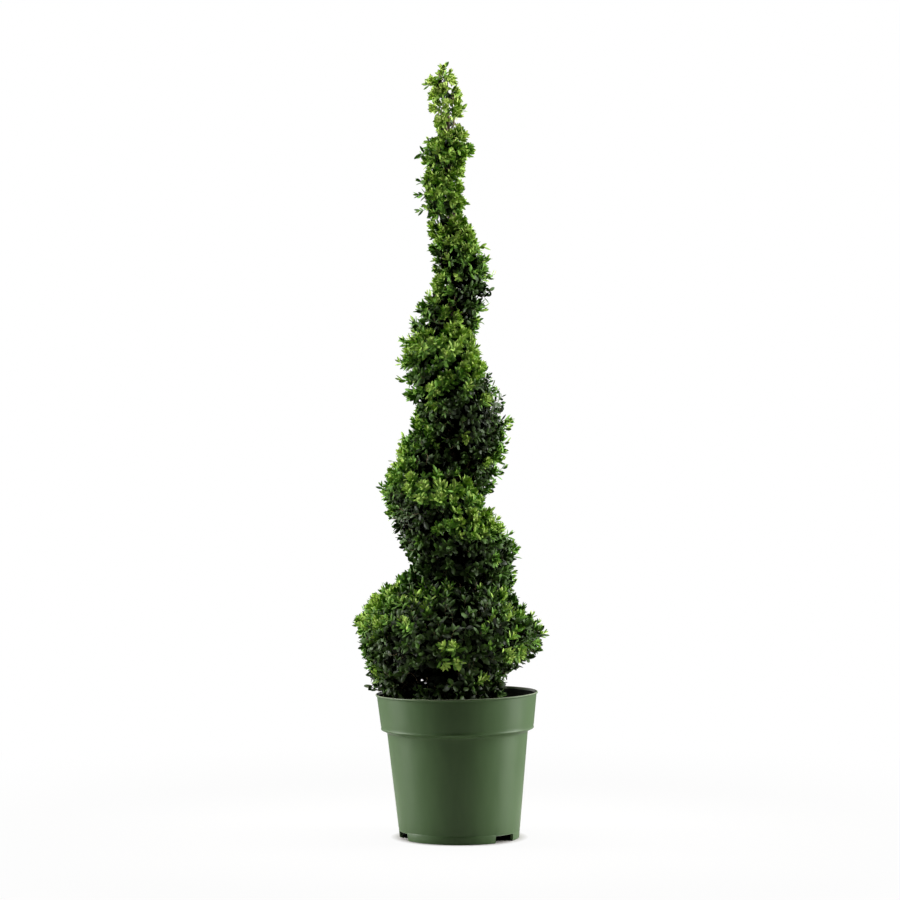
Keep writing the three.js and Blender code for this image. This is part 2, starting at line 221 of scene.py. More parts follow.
# %% Camera
CAMERA_PLACE = (-0.0165, -4.71, 0.670)
CAMERA_LENS_MM = 108.7
camera = bpy.data.objects.new("camera", bpy.data.cameras.new("camera"))
camera.data.lens = CAMERA_LENS_MM
camera.data.sensor_width = 36
camera.location = CAMERA_PLACE
camera.rotation_euler = (math.pi / 2, 0, 0)
bpy.context.scene.collection.objects.link(camera)
bpy.context.scene.camera = camera
print("camera at", CAMERA_PLACE, "lens", CAMERA_LENS_MM, "mm")

# %% [markdown]
# ## Helpers for materials
#
# Every finish is a tree of nodes: small boxes that each work out a value and hand it on. Made by
# hand, each box and each wire takes a line of its own, and a dozen finishes would fill pages. So
# a few helpers do it: one feeds a node's inputs with values or wires, one adds a node, and the
# others add the nodes that come back most often.

# %% Nodes, colours and materials
def srgb(red, green, blue):
    """A colour as eyes name it, 0 to 255, as the linear numbers that a shader takes."""
    values = np.array([red, green, blue]) / 255
    linear = np.where(values <= 0.04045, values / 12.92, ((values + 0.055) / 1.055) ** 2.4)
    return (*linear.tolist(), 1.0)


def feed(tree, node, inputs):
    """Gives inputs of a node a value each, or the socket that feeds them."""
    for label, value in inputs.items():
        if isinstance(value, bpy.types.NodeSocket):
            tree.links.new(value, node.inputs[label])
        else:
            node.inputs[label].default_value = value


def add_node(tree, kind, inputs, **properties):
    node = tree.nodes.new(kind)
    for label, value in properties.items():
        setattr(node, label, value)
    feed(tree, node, inputs)
    return node


def times(tree, first, second):
    return add_node(tree, "ShaderNodeMath", {0: first, 1: second}, operation="MULTIPLY").outputs["Value"]


def ranged(tree, value, start, end, low=0.0, high=1.0, shape="LINEAR"):
    """A value from low to high, as another one goes from start to end."""
    spans = {"Value": value, "From Min": start, "From Max": end, "To Min": low, "To Max": high}
    return add_node(tree, "ShaderNodeMapRange", spans, interpolation_type=shape).outputs["Result"]


def mixed(tree, factor, first, second):
    """A colour between two, by a mask."""
    colours = {"Factor": factor, "A": first, "B": second}
    return add_node(tree, "ShaderNodeMix", colours, data_type="RGBA").outputs["Result"]


def new_material(name):
    """A material, its tree of nodes and its shader."""
    material = bpy.data.materials.new(name)
    material.use_nodes = True
    return material, material.node_tree, material.node_tree.nodes["Principled BSDF"]


print("middle grey as a shader takes it:", np.round(srgb(128, 128, 128), 3))

# %% [markdown]
# ## Light and floor
#
# The pot tells how the studio was lit: a soft glow down its left and right sides and a dark band
# between them, so the light comes from two tall soft boxes at the sides, and little from the
# front. A white floor and a white room behind lighten the far edges of the leaves. The floor
# fades into the same white as the room, so that no horizon shows.

# %% Soft boxes
WARM_WHITE = (1.0, 0.995, 0.98)
SOFT_BOXES = {  # place, the height on the plant's axis that it aims at, width, height, watts
    "box_left": ((-2.0, 0.17, 0.95), 0.6, 0.7, 2.2, 95),
    "box_right": ((2.0, 0.10, 0.95), 0.6, 0.7, 2.2, 106),
    "box_over": ((0.0, 0.35, 3.1), 0.6, 2.4, 0.9, 85),
    "box_behind_left": ((-1.6, 2.0, 1.5), 0.7, 1.6, 2.4, 30),
    "box_behind_right": ((1.6, 2.0, 1.5), 0.7, 1.6, 2.4, 30),
}

for name, (place, aim, width, height, watts) in SOFT_BOXES.items():
    light = bpy.data.lights.new(name, "AREA")
    light.shape = "RECTANGLE"
    light.size = width
    light.size_y = height
    light.energy = watts
    light.color = WARM_WHITE
    box = bpy.data.objects.new(name, light)
    box.location = place
    box.rotation_euler = (Vector((0, 0, aim)) - Vector(place)).to_track_quat("-Z", "Y").to_euler()
    box.visible_camera = False
    bpy.context.scene.collection.objects.link(box)

# %% Floor and room
FLOOR_RADIUS = 30
FLOOR_UNDER = 0.0002  # it lies this far under the pot, so that the two don't flicker
FLOOR_FADE = (0.35, 1.6)  # metres from the pot over which the floor turns into the room's white
FLOOR_GLOW = 0.94  # how far the floor is lifted towards that white close to the pot
FLOOR_NEAR = (0.30, 0.90)  # metres over which the floor gets greyer, to throw less light up
PAPER_NEAR = (0.50, 0.484, 0.468, 1)
PAPER_FAR = (0.16, 0.155, 0.15, 1)
PAPER_ROUGHNESS = 0.55
UNDER_POT = (0.102, 0.120)  # no lift closer than this, so that the drain notches stay dark
ROOM_LIGHT = 0.008  # what the room itself adds to the light, next to the white that is seen
PURE_WHITE = (1, 1, 1, 1)


def seen_directly(tree):
    """1 where the camera looks straight at the surface, 0 where only light meets it."""
    return add_node(tree, "ShaderNodeLightPath", {}).outputs["Is Camera Ray"]


def floor_material():
    material, tree, paper = new_material("studio_floor")
    place = add_node(tree, "ShaderNodeTexCoord", {}).outputs["Object"]
    away = add_node(tree, "ShaderNodeVectorMath", {0: place}, operation="LENGTH").outputs["Value"]
    greyer = ranged(tree, away, *FLOOR_NEAR, shape="SMOOTHSTEP")
    colour = mixed(tree, greyer, PAPER_NEAR, PAPER_FAR)
    feed(tree, paper, {"Base Color": colour, "Roughness": PAPER_ROUGHNESS})
    lift = ranged(tree, away, *FLOOR_FADE, low=FLOOR_GLOW, shape="SMOOTHSTEP")
    lift = times(tree, times(tree, lift, seen_directly(tree)), ranged(tree, away, *UNDER_POT))
    glow = add_node(tree, "ShaderNodeEmission", {"Color": PURE_WHITE}).outputs["Emission"]
    blend = add_node(tree, "ShaderNodeMixShader", {"Fac": lift, 1: paper.outputs["BSDF"], 2: glow})
    feed(tree, tree.nodes["Material Output"], {"Surface": blend.outputs["Shader"]})
    return material


bpy.ops.mesh.primitive_circle_add(
    vertices=96, radius=FLOOR_RADIUS, fill_type="NGON", location=(0, 0, -FLOOR_UNDER))
floor = bpy.context.object
floor.name = "studio_floor"
floor.data.materials.append(floor_material())

world = bpy.data.worlds.new("studio_room")
world.use_nodes = True
bpy.context.scene.world = world
tree = world.node_tree
strength = ranged(tree, seen_directly(tree), 0.0, 1.0, low=ROOM_LIGHT)
feed(tree, tree.nodes["Background"], {"Color": PURE_WHITE, "Strength": strength})
bpy.context.scene.view_settings.view_transform = "Standard"
print("floor and room are in place:", floor.name, world.name)

# %% [markdown]
# ## Effects that several finishes share
#
# Three small node groups do the work of all the materials. "mottle" puts out a soft mask of
# patches, for dusty plastic, grey bark and damp soil. "grain" is a fine bump whose pattern can be
# stretched one way, for bark, wood fibre and moulded skin. "leaf_skin" puckers a leaf a little
# and gives it a waxy roughness that changes from leaf to leaf. Groups keep the recipe in one
# place, and each material still sets its own values.

# %% Node groups
NUMBER = "NodeSocketFloat"
VECTOR = "NodeSocketVector"
PATCH_EDGE = (0.35, 0.68)  # values of the noise between which a patch fades in
WAX_EDGE = (0.3, 0.7)
WAX_SCALE = 90.0
PUCKER_SCALE = 420.0
PUCKER_DEPTH = 0.0006


def new_group(name, inputs, outputs):
    """A node group, from its inputs with their start values and its outputs with their kinds."""
    group = bpy.data.node_groups.new(name, "ShaderNodeTree")
    for label, value in inputs.items():
        kind = VECTOR if isinstance(value, tuple) else NUMBER
        group.interface.new_socket(label, in_out="INPUT", socket_type=kind).default_value = value
    for label, kind in outputs.items():
        group.interface.new_socket(label, in_out="OUTPUT", socket_type=kind)
    return group, group.nodes.new("NodeGroupInput").outputs, group.nodes.new("NodeGroupOutput")


def object_place(group):
    return add_node(group, "ShaderNodeTexCoord", {}).outputs["Object"]


def cloudy(group, place, scale, **inputs):
    inputs = {"Vector": place, "Scale": scale, **inputs}
    return add_node(group, "ShaderNodeTexNoise", inputs).outputs["Fac"]


def stretched(group, scale):
    """Object coordinates times a scale for each axis, so that a pattern has its true size."""
    place = {0: object_place(group), 1: scale}
    return add_node(group, "ShaderNodeVectorMath", place, operation="MULTIPLY").outputs["Vector"]


def bumped(group, height, strength, depth):
    inputs = {"Height": height, "Strength": strength, "Distance": depth}
    return add_node(group, "ShaderNodeBump", inputs).outputs["Normal"]


MOTTLE, given, out = new_group(
    "mottle", {"Scale": (20, 20, 20), "Amount": 0.5, "Detail": 4.0}, {"Mask": NUMBER})
spots = cloudy(MOTTLE, stretched(MOTTLE, given["Scale"]), 1.0, Detail=given["Detail"])
feed(MOTTLE, out, {"Mask": times(MOTTLE, ranged(MOTTLE, spots, *PATCH_EDGE), given["Amount"])})

GRAIN, given, out = new_group(
    "grain", {"Scale": (400, 400, 400), "Strength": 0.3, "Depth": 0.0004},
    {"Height": NUMBER, "Normal": VECTOR})
fibres = cloudy(GRAIN, stretched(GRAIN, given["Scale"]), 1.0, Detail=6.0)
relief = bumped(GRAIN, fibres, given["Strength"], given["Depth"])
feed(GRAIN, out, {"Height": fibres, "Normal": relief})

LEAF_SKIN, given, out = new_group(
    "leaf_skin", {"Gloss": 0.34, "Dull": 0.55, "Puckering": 0.25},
    {"Roughness": NUMBER, "Normal": VECTOR})
place = object_place(LEAF_SKIN)
worn = cloudy(LEAF_SKIN, place, WAX_SCALE)
wax = ranged(LEAF_SKIN, worn, *WAX_EDGE, given["Gloss"], given["Dull"])
bumps = cloudy(LEAF_SKIN, place, PUCKER_SCALE)
pucker = bumped(LEAF_SKIN, bumps, given["Puckering"], PUCKER_DEPTH)
feed(LEAF_SKIN, out, {"Roughness": wax, "Normal": pucker})


def placed(tree, group, **values):
    """A group in a material, with that material's own values. Gives its outputs."""
    return add_node(tree, "ShaderNodeGroup", values, node_tree=group).outputs


print("groups:", [g.name for g in bpy.data.node_groups])

# %% [markdown]
# ## Leaf colours
#
# New leaves at the tips are a bright yellow-green, last year's are mid green, and the old ones
# inside are a dark, slightly blue green. A pattern over the whole plant could paint that, but a
# shoot's leaves share one age, so each pair is dealt one of these plain colours by its shoot's
# age instead; that age also carries painted light and painted shade. All share the waxy skin:
# glossy old leaves, softer young ones. The last colour, nearly black, is painted shade for the
# leaves deep inside, which hardly any light reaches.

# %% Leaf materials, from the youngest to the oldest
LEAF_TINTS = [  # name, colour, roughness where the wax is best, how strongly it mirrors
    ("leaf_lime", srgb(184, 206, 110), 0.50, 0.10),
    ("leaf_young", srgb(146, 179, 79), 0.48, 0.11),
    ("leaf_fresh", srgb(103, 146, 56), 0.46, 0.13),
    ("leaf_grown", srgb(79, 115, 42), 0.45, 0.15),
    ("leaf_grown_cool", srgb(64, 93, 36), 0.43, 0.21),
    ("leaf_deep", srgb(52, 75, 28), 0.41, 0.24),
    ("leaf_deep_cool", srgb(35, 51, 21), 0.40, 0.24),
    # painted shade: nearly black, for the leaves deep inside that hardly any light reaches
    ("leaf_painted_shade", srgb(12, 18, 7), 0.60, 0.05),
]
WORN_WAX = 0.2  # how much rougher a leaf is where its wax has worn
PUCKERING = 0.3


def leaf_material(name, colour, gloss, shine):
    material, tree, shader = new_material(name)
    skin = placed(tree, LEAF_SKIN, Gloss=gloss, Dull=gloss + WORN_WAX, Puckering=PUCKERING)
    feed(tree, shader, {"Base Color": colour, "Specular IOR Level": shine,
                        "Roughness": skin["Roughness"], "Normal": skin["Normal"]})
    return material


LEAVES = [leaf_material(*tint) for tint in LEAF_TINTS]
print("leaf tints:", [m.name for m in LEAVES])

# %% [markdown]
# ## Bark and young wood
#
# Box bark is pale grey-brown and finely cracked along the stem. The young shoots are green and
# four-edged, and the twigs between are olive going brown. Bark gets its big fissures from the
# mesh later; here only the fine grain and the grey patches are added.

# %% Bark, twig and shoot materials
def layered(name, base, layers, grain, roughness, shine=0.5):
    """A finish with a fine grain. Each layer of colour is let in by patches or by the grain."""
    material, tree, shader = new_material(name)
    scale, strength, depth = grain
    fine = placed(tree, GRAIN, Scale=scale, Strength=strength, Depth=depth)
    mask = fine["Height"]
    for patches, colour in layers:
        if patches:
            scale, amount, detail = patches
            mask = placed(tree, MOTTLE, Scale=scale, Amount=amount, Detail=detail)["Mask"]
        base = mixed(tree, mask, base, colour)
    if isinstance(roughness, tuple):
        roughness = ranged(tree, mask, 0.0, 1.0, *roughness)
    feed(tree, shader, {"Base Color": base, "Roughness": roughness,
                        "Specular IOR Level": shine, "Normal": fine["Normal"]})
    return material


CRACKS = ((520, 520, 90), 0.7, 0.0008)  # a grain: how fine along each axis, strength, depth
FIBRES = ((900, 900, 500), 0.5, 0.0005)
LICHEN = ((60, 60, 16), 1.0, 6.0)  # patches: how fine along each axis, amount, detail
BARK = layered(
    "bark", srgb(50, 38, 28), [(None, srgb(116, 94, 72)), (LICHEN, srgb(122, 108, 88))], CRACKS, 0.85)
WOODS = [
    layered("bough_wood", srgb(104, 84, 62), [], FIBRES, 0.8),
    layered("twig_wood", srgb(112, 98, 66), [], FIBRES, 0.7),
    layered("shoot_green", srgb(112, 140, 60), [], FIBRES, 0.6),
]
print("woods:", BARK.name, *[m.name for m in WOODS])

# %% [markdown]
# ## Making many small meshes at once
#
# Fifty thousand leaves as separate objects would choke Blender, and particles or instances are
# lost when a model is exported. So each kind is worked out as arrays of corners and faces, and
# turned into one mesh for each turn of the ramp. A few helpers are enough: one makes the mesh,
# some lay faces between rings of corners, one skins whole bundles of limbs as tapering tubes, and
# one lays out leaves.

# %% One mesh from arrays
def mesh_piece(name, corners, faces, materials, node, tints=None):
    """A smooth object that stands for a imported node. faces: arrays with a row for each face."""
    mesh = bpy.data.meshes.new(name)
    mesh.vertices.add(len(corners))
    mesh.vertices.foreach_set("co", np.asarray(corners, dtype=np.float32).ravel())
    sizes = np.concatenate([np.full(len(rows), rows.shape[1]) for rows in faces])
    loops = np.concatenate([rows.ravel() for rows in faces])
    mesh.loops.add(len(loops))
    mesh.loops.foreach_set("vertex_index", loops.astype(np.int32))
    mesh.polygons.add(len(sizes))
    starts = np.concatenate([[0], np.cumsum(sizes)[:-1]])
    mesh.polygons.foreach_set("loop_start", starts.astype(np.int32))
    if tints is not None:
        mesh.polygons.foreach_set("material_index", tints.astype(np.int32))
    mesh.polygons.foreach_set("use_smooth", np.ones(len(sizes), dtype=bool))
    mesh.update(calc_edges=True)
    mesh.validate()
    for material in materials:
        mesh.materials.append(material)
    piece = bpy.data.objects.new(name, mesh)
    bpy.context.scene.collection.objects.link(piece)
    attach(piece, "root")
    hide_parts(node)
    print(name, "has", len(sizes), "faces and stands for", node)
    return piece


# %% Faces between rings of corners
def skin(numbers):
    """Quads and triangles over rings of corners, closed by two end corners that come last.

    The numbers of the rings' corners are given as a table with a row for each ring.
    """
    after = np.roll(numbers, -1, axis=1)
    walls = np.stack([numbers[:-1], after[:-1], after[1:], numbers[1:]], -1).reshape(-1, 4)
    ends = [
        np.stack([np.full_like(after[0], numbers.size), after[0], numbers[0]], -1),
        np.stack([np.full_like(after[0], numbers.size + 1), numbers[-1], after[-1]], -1),
    ]
    return walls, np.concatenate(ends)


def turned_over(faces):
    """The same faces with their other side out."""
    return np.concatenate([faces[:, :1], faces[:, :0:-1]], axis=1)


def for_each(faces, copies, corners_each):
    """The faces of one shape, for every copy of it."""
    shift = np.arange(copies)[:, None, None] * corners_each
    return (faces[None] + shift).reshape(-1, faces.shape[1])


NO_QUADS = np.zeros((0, 4), dtype=int)


def join(parts):
    """Several (corners, quads, triangles) as one."""
    corners, quads, triangles, shift = [], [], [], 0
    for points, walls, ends in parts:
        corners.append(points)
        quads.append(walls + shift)
        triangles.append(ends + shift)
        shift += len(points)
    return np.concatenate(corners), np.concatenate(quads), np.concatenate(triangles)


print("first wall of a square tube:", skin(np.arange(8).reshape(2, 4))[0][0])

# %% Bundles of limbs as tubes
def across(directions, lean=(0.31, 0.87, 0.38)):
    """For each direction, two directions square to it and to each other."""
    side = unit(np.cross(directions, np.broadcast_to(np.array(lean), directions.shape)))
    return side, np.cross(directions, side)


def outward_at(side, other, angle):
    return side * np.cos(angle)[:, None] + other * np.sin(angle)[:, None]


def tubes(paths, radii, sides):
    """Closed tapering tubes along paths (limb, step, xyz), as corners, quads and triangles."""
    limbs, steps = paths.shape[:2]
    side, other = across(unit(np.gradient(paths, axis=1)))
    angle = np.arange(sides) * FULL_TURN / sides
    ring = outward_at(side[:, :, None], other[:, :, None], angle)
    corners = (paths[:, :, None] + ring * radii[:, :, None, None]).reshape(limbs, steps * sides, 3)
    corners = np.concatenate([corners, paths[:, :1], paths[:, -1:]], axis=1)
    one = skin(np.arange(steps * sides).reshape(steps, sides))
    quads, ends = [for_each(turned_over(faces), limbs, corners.shape[1]) for faces in one]
    return corners.reshape(-1, 3), quads, ends


def cubic(a, b, c, d, t):
    return (1 - t)**3 * a + 3 * (1 - t)**2 * t * b + 3 * (1 - t) * t**2 * c + t**3 * d


def curve_at(limbs, t):
    """The point and the direction at one share t of each limb, from its four controls."""
    t = t[:, None]
    a, b, c, d = [limbs[:, i] for i in range(4)]
    slope = (1 - t)**2 * (b - a) + 2 * (1 - t) * t * (c - b) + t**2 * (d - c)
    return cubic(a, b, c, d, t), unit(slope)


def limb_tubes(limbs, steps, sides, foot, tip):
    """Tubes along limbs (limb, 4 controls, xyz) that taper from one radius to another."""
    share = np.linspace(0, 1, steps)[None]
    foot, tip = [np.asarray(radius).reshape(-1, 1) for radius in (foot, tip)]
    radii = foot * (1 - share) + tip * share + np.zeros((len(limbs), 1))
    paths = cubic(*[limbs[:, i:i + 1] for i in range(4)], share[..., None])
    return tubes(paths, radii, sides)


test_limb = np.array([[[0, 0, 0], [0, 0, 1], [0, 0, 2], [0, 0, 3]]]) * MM
print("a twig of six sides has", len(limb_tubes(test_limb, 8, 6, MM, MM)[0]), "corners")


# %% Leaves
# One leaf, as shares of its length and width: x along, y across, z up from the blade.
LEAF_OUTLINE = np.array([
    [0.00, 0.00, 0.00],    # stalk
    [0.20, 0.34, -0.03], [0.20, -0.34, -0.03],
    [0.52, 0.50, -0.06], [0.52, -0.50, -0.06],
    [0.82, 0.33, -0.10], [0.82, -0.33, -0.10],
    [1.00, 0.00, -0.12],   # tip
    [0.30, 0.00, 0.035], [0.70, 0.00, 0.00],  # the midrib stands a little proud
])
LEAF_FACES = np.array([
    [0, 8, 1], [0, 2, 8], [1, 8, 3], [2, 4, 8], [3, 8, 9], [4, 9, 8],
    [3, 9, 5], [4, 6, 9], [5, 9, 7], [6, 7, 9],
])


def leaf_mesh(roots, along, up, lengths, widths):
    """Corners and faces of a leaf at each root, lying along a direction with its face up."""
    along = unit(along)
    side = unit(np.cross(up, along))
    face = np.cross(along, side)
    x, y, z = LEAF_OUTLINE.T
    corners = (
        roots[:, None]
        + along[:, None] * (x * lengths[:, None])[..., None]
        + side[:, None] * (y * widths[:, None])[..., None]
        + face[:, None] * (z * lengths[:, None])[..., None]
    )
    return corners.reshape(-1, 3), for_each(LEAF_FACES, len(roots), len(LEAF_OUTLINE))


print("a leaf has", len(LEAF_OUTLINE), "corners and", len(LEAF_FACES), "faces")

# %% [markdown]
# ## Growing a turn of the ramp
#
# The solids carry sprays that are spread by the golden ratio over each turn, with opposite pairs
# of leaves, each pair a quarter turn from the last. The same rule is carried on here to the real
# number of shoots. It is worked backwards from the clipped surface, because the shears decide
# where shoots end: tips first, then twigs that each serve a clump of tips, then boughs that each
# serve a few twigs and reach back to the trunk. The clumps leave small dark gaps between them,
# which is what makes a clipped shrub look deep and not like felt. A few single shoots that the
# shears missed break the outline, as they do on every real plant a week after its clipping.

# %% Sizes of the growth
GOLDEN = (math.sqrt(5) - 1) / 2
SEED = 4107
SHOOT_AREA = 95 * MM * MM  # clipped surface for each shoot
SHOOTS_A_TWIG = 8
TWIGS_A_BOUGH = 6
LEAST_TWIGS = 6
LEAST_BOUGHS = 4
FULL_DEPTH = 0.05  # metres of growth over the trunk: where there is less, everything is smaller
LEAST_ROOM = 0.35  # but no smaller than this share
TWIG_DEPTH = 36 * MM  # how far under the surface a twig's end lies
TWIG_DEPTH_SHARE = 0.6  # but no more than this share of the growth's depth
CLUMP_SWELL = (-13, 3)  # millimetres that a clump stands in or out
LEAST_SWELL = 0.3
CLUMPING = 0.62  # how far a tip is drawn to its twig's own middle
CLUMPING_SPREAD = (0.2, 1.6)
TIP_UNDER = 5 * MM  # leaves stand on past the tip, so the tip lies this far under the outline
ROUGHNESS = 5.5 * MM
STRAY_SHARE = 0.07  # shoots that have grown since the last clipping
STRAY_LENGTH = 11 * MM
STRAY_SPREAD = (-0.2, 1)
LATE_OUT = 4 * MM  # the youngest sprigs have all grown this far out
LATE_YOUTH = 1.2  # those are the sprigs of patches that are younger by more than this
GROOVE_SHARE = 0.14  # the part of a turn's height next to the groove, where leaves fill it
GROOVE_FILL = -3 * MM
GROOVE_CROWDING = 1.2  # how many more shoots crowd into the grooves, next to the rest
GROOVE_SCATTER = 5 * MM
CELLS_AROUND = 72  # cells in which a turn's surface is measured
CELLS_UP = 40

# Single shoots that the shears missed: where their tips stand, as x and z in millimetres.
LONE_SHOOTS = {
    "foliage_tip": [(-58, 1304), (6, 1262), (-27, 1338)],
    "foliage_tuft_upper": [(-66, 1180)],
    "foliage_tuft_lower": [(-70, 1136), (-71, 1112), (-69, 1084)],
    "foliage_turn_middle": [(-99, 873), (-100, 860), (87, 722)],
    "foliage_turn_lower": [(-136, 608), (98, 498)],
}


def groove_distance(share):
    """0 in the groove over or under a turn, 1 from GROOVE_SHARE of its height on."""
    return ramp(np.minimum(share, 1 - share), 0, GROOVE_SHARE)


def spread(turn, count, crowding=0.0):
    """Places (around, share) spread over a turn's surface, evenly or crowded into its grooves."""
    around_edges = np.linspace(0, 1, CELLS_AROUND + 1)
    share_edges = np.linspace(0, 1, CELLS_UP + 1)
    a, s = np.meshgrid(around_edges, share_edges)
    grid = surface(turn, a, s)
    right = grid[:-1, 1:] - grid[:-1, :-1]
    rise = grid[1:, :-1] - grid[:-1, :-1]
    areas = np.linalg.norm(np.cross(right, rise), axis=-1)
    total = areas.sum()
    middles = (share_edges[:-1] + share_edges[1:]) / 2
    areas *= (1 + crowding * (1 - groove_distance(middles)))[:, None]
    rows = np.concatenate([[0], np.cumsum(areas.sum(axis=1))])
    share = np.interp((np.arange(count) + 0.5) / count, rows / rows[-1], share_edges)
    row = np.clip(np.searchsorted(share_edges, share) - 1, 0, len(areas) - 1)
    golden = (np.arange(count) + 0.5) * GOLDEN % 1
    columns = np.concatenate([np.zeros((len(areas), 1)), np.cumsum(areas, axis=1)], axis=1)
    columns /= columns[:, -1:]
    around = np.array([np.interp(g, columns[r], around_edges) for g, r in zip(golden, row)])
    return around, share, total


turn_areas = [spread(turn, 10)[2] for turn in range(len(TURNS))]
print("clipped surface, square metres:", np.round(turn_areas, 3), "in all", round(sum(turn_areas), 3))

# %% [markdown]
# ## Where the growth has to stay, and where it differs
#
# A leaf may not run into the pot, so points over the soil are tested against the pot's wall. And
# no real shrub is even. Here and there it is thin enough to see daylight through, and some places
# were clipped last week and others last month. Some places are also painted light or painted
# shade: their leaves are made lighter or darker where more or less light falls. Such places are
# listed as ovals on the front, and each goes right through the plant, so the back differs as well.

# %% The pot's wall, and places where the plant is thin
POT_LEAN = 0.0195
POT_HEIGHT = 0.250
RIM_RADIUS = 0.140
COLLAR_FOOT_Z = 0.190
COLLAR_FOOT_RADIUS = 0.132
COLLAR_FLARE = RIM_RADIUS - COLLAR_FOOT_RADIUS
POT_WALL = 0.0026
POT_GAP = 0.002  # leaves keep this far off the soil and over the rim


def clear_of_pot(points):
    """True where a point is over the soil and either inside the pot or above its rim."""
    x, y, z = np.moveaxis(points, -1, 0)
    straight = x + POT_LEAN * z
    above = z > POT_HEIGHT + POT_LEAN * straight + POT_GAP
    inner = COLLAR_FOOT_RADIUS + COLLAR_FLARE * (z - COLLAR_FOOT_Z) / (POT_HEIGHT - COLLAR_FOOT_Z)
    inside = np.hypot(straight, y) < inner - 2 * POT_WALL
    return (z > SOIL_TOP + POT_GAP) & (above | inside)


def depth_in(patch, x, z):
    """1 in the middle of an oval [x, z, half width, half height], 0 on its edge, less outside."""
    return 1 - np.hypot((x - patch[0]) / patch[2], (z - patch[1]) / patch[3])


# Places where daylight shows through: x, z, half width and half height, in millimetres.
THIN_PLACES = np.array([
    [-80, 275, 20, 16], [-60, 270, 19, 14], [-36, 1267, 6, 9], [-25, 1000, 4, 9], [-26, 953, 5, 7],
    [100, 277, 20, 11], [52, 584, 12, 8], [-120, 670, 13, 32], [-94, 722, 10, 28], [17, 1158, 8, 18],
    [48, 897, 9, 15],
]) * MM
THINNEST = 0.97  # the share of leaves that is missing in the middle of a thin place


def stays(points, rng):
    """False for most of the points in a thin place, along the line of sight from in front."""
    keep = np.ones(len(points), dtype=bool)
    for x, z, half_width, half_height in THIN_PLACES:
        slope = (CAMERA_PLACE[2] - z) / CAMERA_PLACE[1]
        sight = (x, z + slope * points[:, 1], half_width, half_height)
        inside = np.clip(2 * depth_in(sight, points[:, 0], points[:, 2]), 0, 1)
        keep &= rng.random(len(points)) > THINNEST * inside
    return keep


print("thin places:", len(THIN_PLACES))

# %% Where the growth is younger or older, and where light and shade are painted
# Patches of younger (+) or older (-) growth than the rule gives, from late clipping, and partly
# painted light and painted shade, where the leaves are made lighter or darker for how the light
# falls: x, z, half width and half height in millimetres, then the youth that is added.
AGE_AND_PAINTED_LIGHT_PATCHES = [
    (-8, 1250, 18, 40, -0.6), (-42, 1275, 14, 50, 0.8), (-20, 1138, 42, 62, 0.6), (-18, 1046, 31, 23, 1.0),
    (-15, 950, 20, 28, 0.3), (42, 940, 22, 28, -0.9), (12, 960, 12, 18, -0.9), (-62, 902, 36, 36, -0.8),
    (-30, 843, 48, 20, 1.6), (-35, 790, 40, 22, 0.6), (-43, 757, 17, 28, 1.2), (52, 752, 34, 70, -1.0),
    (90, 775, 14, 40, -0.6), (78, 727, 11, 15, 1.5), (68, 783, 9, 10, 0.7), (44, 760, 12, 9, 2.2),
    (10, 735, 8, 8, 1.8), (6, 693, 11, 9, 1.6), (48, 654, 15, 9, 1.3), (95, 640, 20, 22, -0.6),
    (-75, 680, 34, 40, -0.4), (-30, 648, 66, 22, -0.8), (10, 695, 60, 45, -0.6), (-50, 598, 46, 24, 1.3),
    (-88, 545, 30, 30, -0.5), (8, 545, 55, 30, 0.9), (55, 478, 18, 16, 0.4), (-45, 455, 62, 22, -0.5),
    (15, 445, 24, 20, -0.6), (15, 405, 75, 26, -0.5), (95, 410, 25, 22, -0.3), (118, 385, 30, 26, -0.5),
    (-155, 388, 30, 50, 0.6), (-162, 322, 16, 26, 0.6), (-90, 380, 34, 36, -0.6), (-122, 323, 40, 34, -0.9),
    (-95, 380, 10, 9, 1.9), (72, 368, 22, 20, -0.7), (92, 326, 30, 15, 1.5), (-20, 345, 14, 11, 1.9),
    (-12, 311, 22, 18, 2.3), (36, 280, 11, 8, 2.6),
]


def patch_youth_and_painted_light(tips):
    """The youth that the patches add at each tip, partly painted light and shade."""
    youth = np.zeros(len(tips))
    for *oval, younger in AGE_AND_PAINTED_LIGHT_PATCHES:
        inside = np.clip(3 * depth_in(np.array(oval) * MM, tips[:, 0], tips[:, 2]), 0, 1)
        youth += younger * inside
    return youth


print("patches of young growth:", sum(patch[-1] > 0 for patch in AGE_AND_PAINTED_LIGHT_PATCHES), "of", len(AGE_AND_PAINTED_LIGHT_PATCHES))

# %% [markdown]
# ## Limbs
#
# Each limb is one cubic curve with four controls. A bough leaves the trunk lower down than the
# place it serves and sags a little before it rises, a twig first runs along with its bough, and a
# shoot turns up towards the light before it meets the clipped surface.

# %% Boughs, twigs and shoots of one turn
UP = np.array([0.0, 0.0, 1.0])
BOUGH_RISE = 0.45  # how much lower a bough starts than it ends, as a share of its reach
BOUGH_GAP = 0.004  # metres between a bough's start and the borders of its turn
TRUNK_END_GAP = 0.012
BOUGH_SUNK = 0.7  # a bough starts at this share of the trunk's radius
BOUGH_SHARE = 0.62  # and ends at this share of its way to the surface
BOUGH_BEND = ((0.35, 0.06), (0.75, 0.03))  # its middle controls: share of the way, and sag
TWIG_ALONG = (0.35, 1.0)  # where twigs may leave a bough
SHOOT_ALONG = (0.3, 1.0)  # where shoots may leave a twig
TWIG_BEND = (0.3, 0.1, 0.25)  # shares of its length: along with the bough, straight, and last
SHOOT_BEND = (0.25, 0.15, 0.42)
TWIG_LIFT = 0.3  # how much each turns up towards the light at its end
SHOOT_LIFT = (0.2, 1.1)
SHOOT_SCATTER = 0.40
SHOOT_MIDDLE = 0.6  # this share along a shoot is tested against the pot, as well as its tip


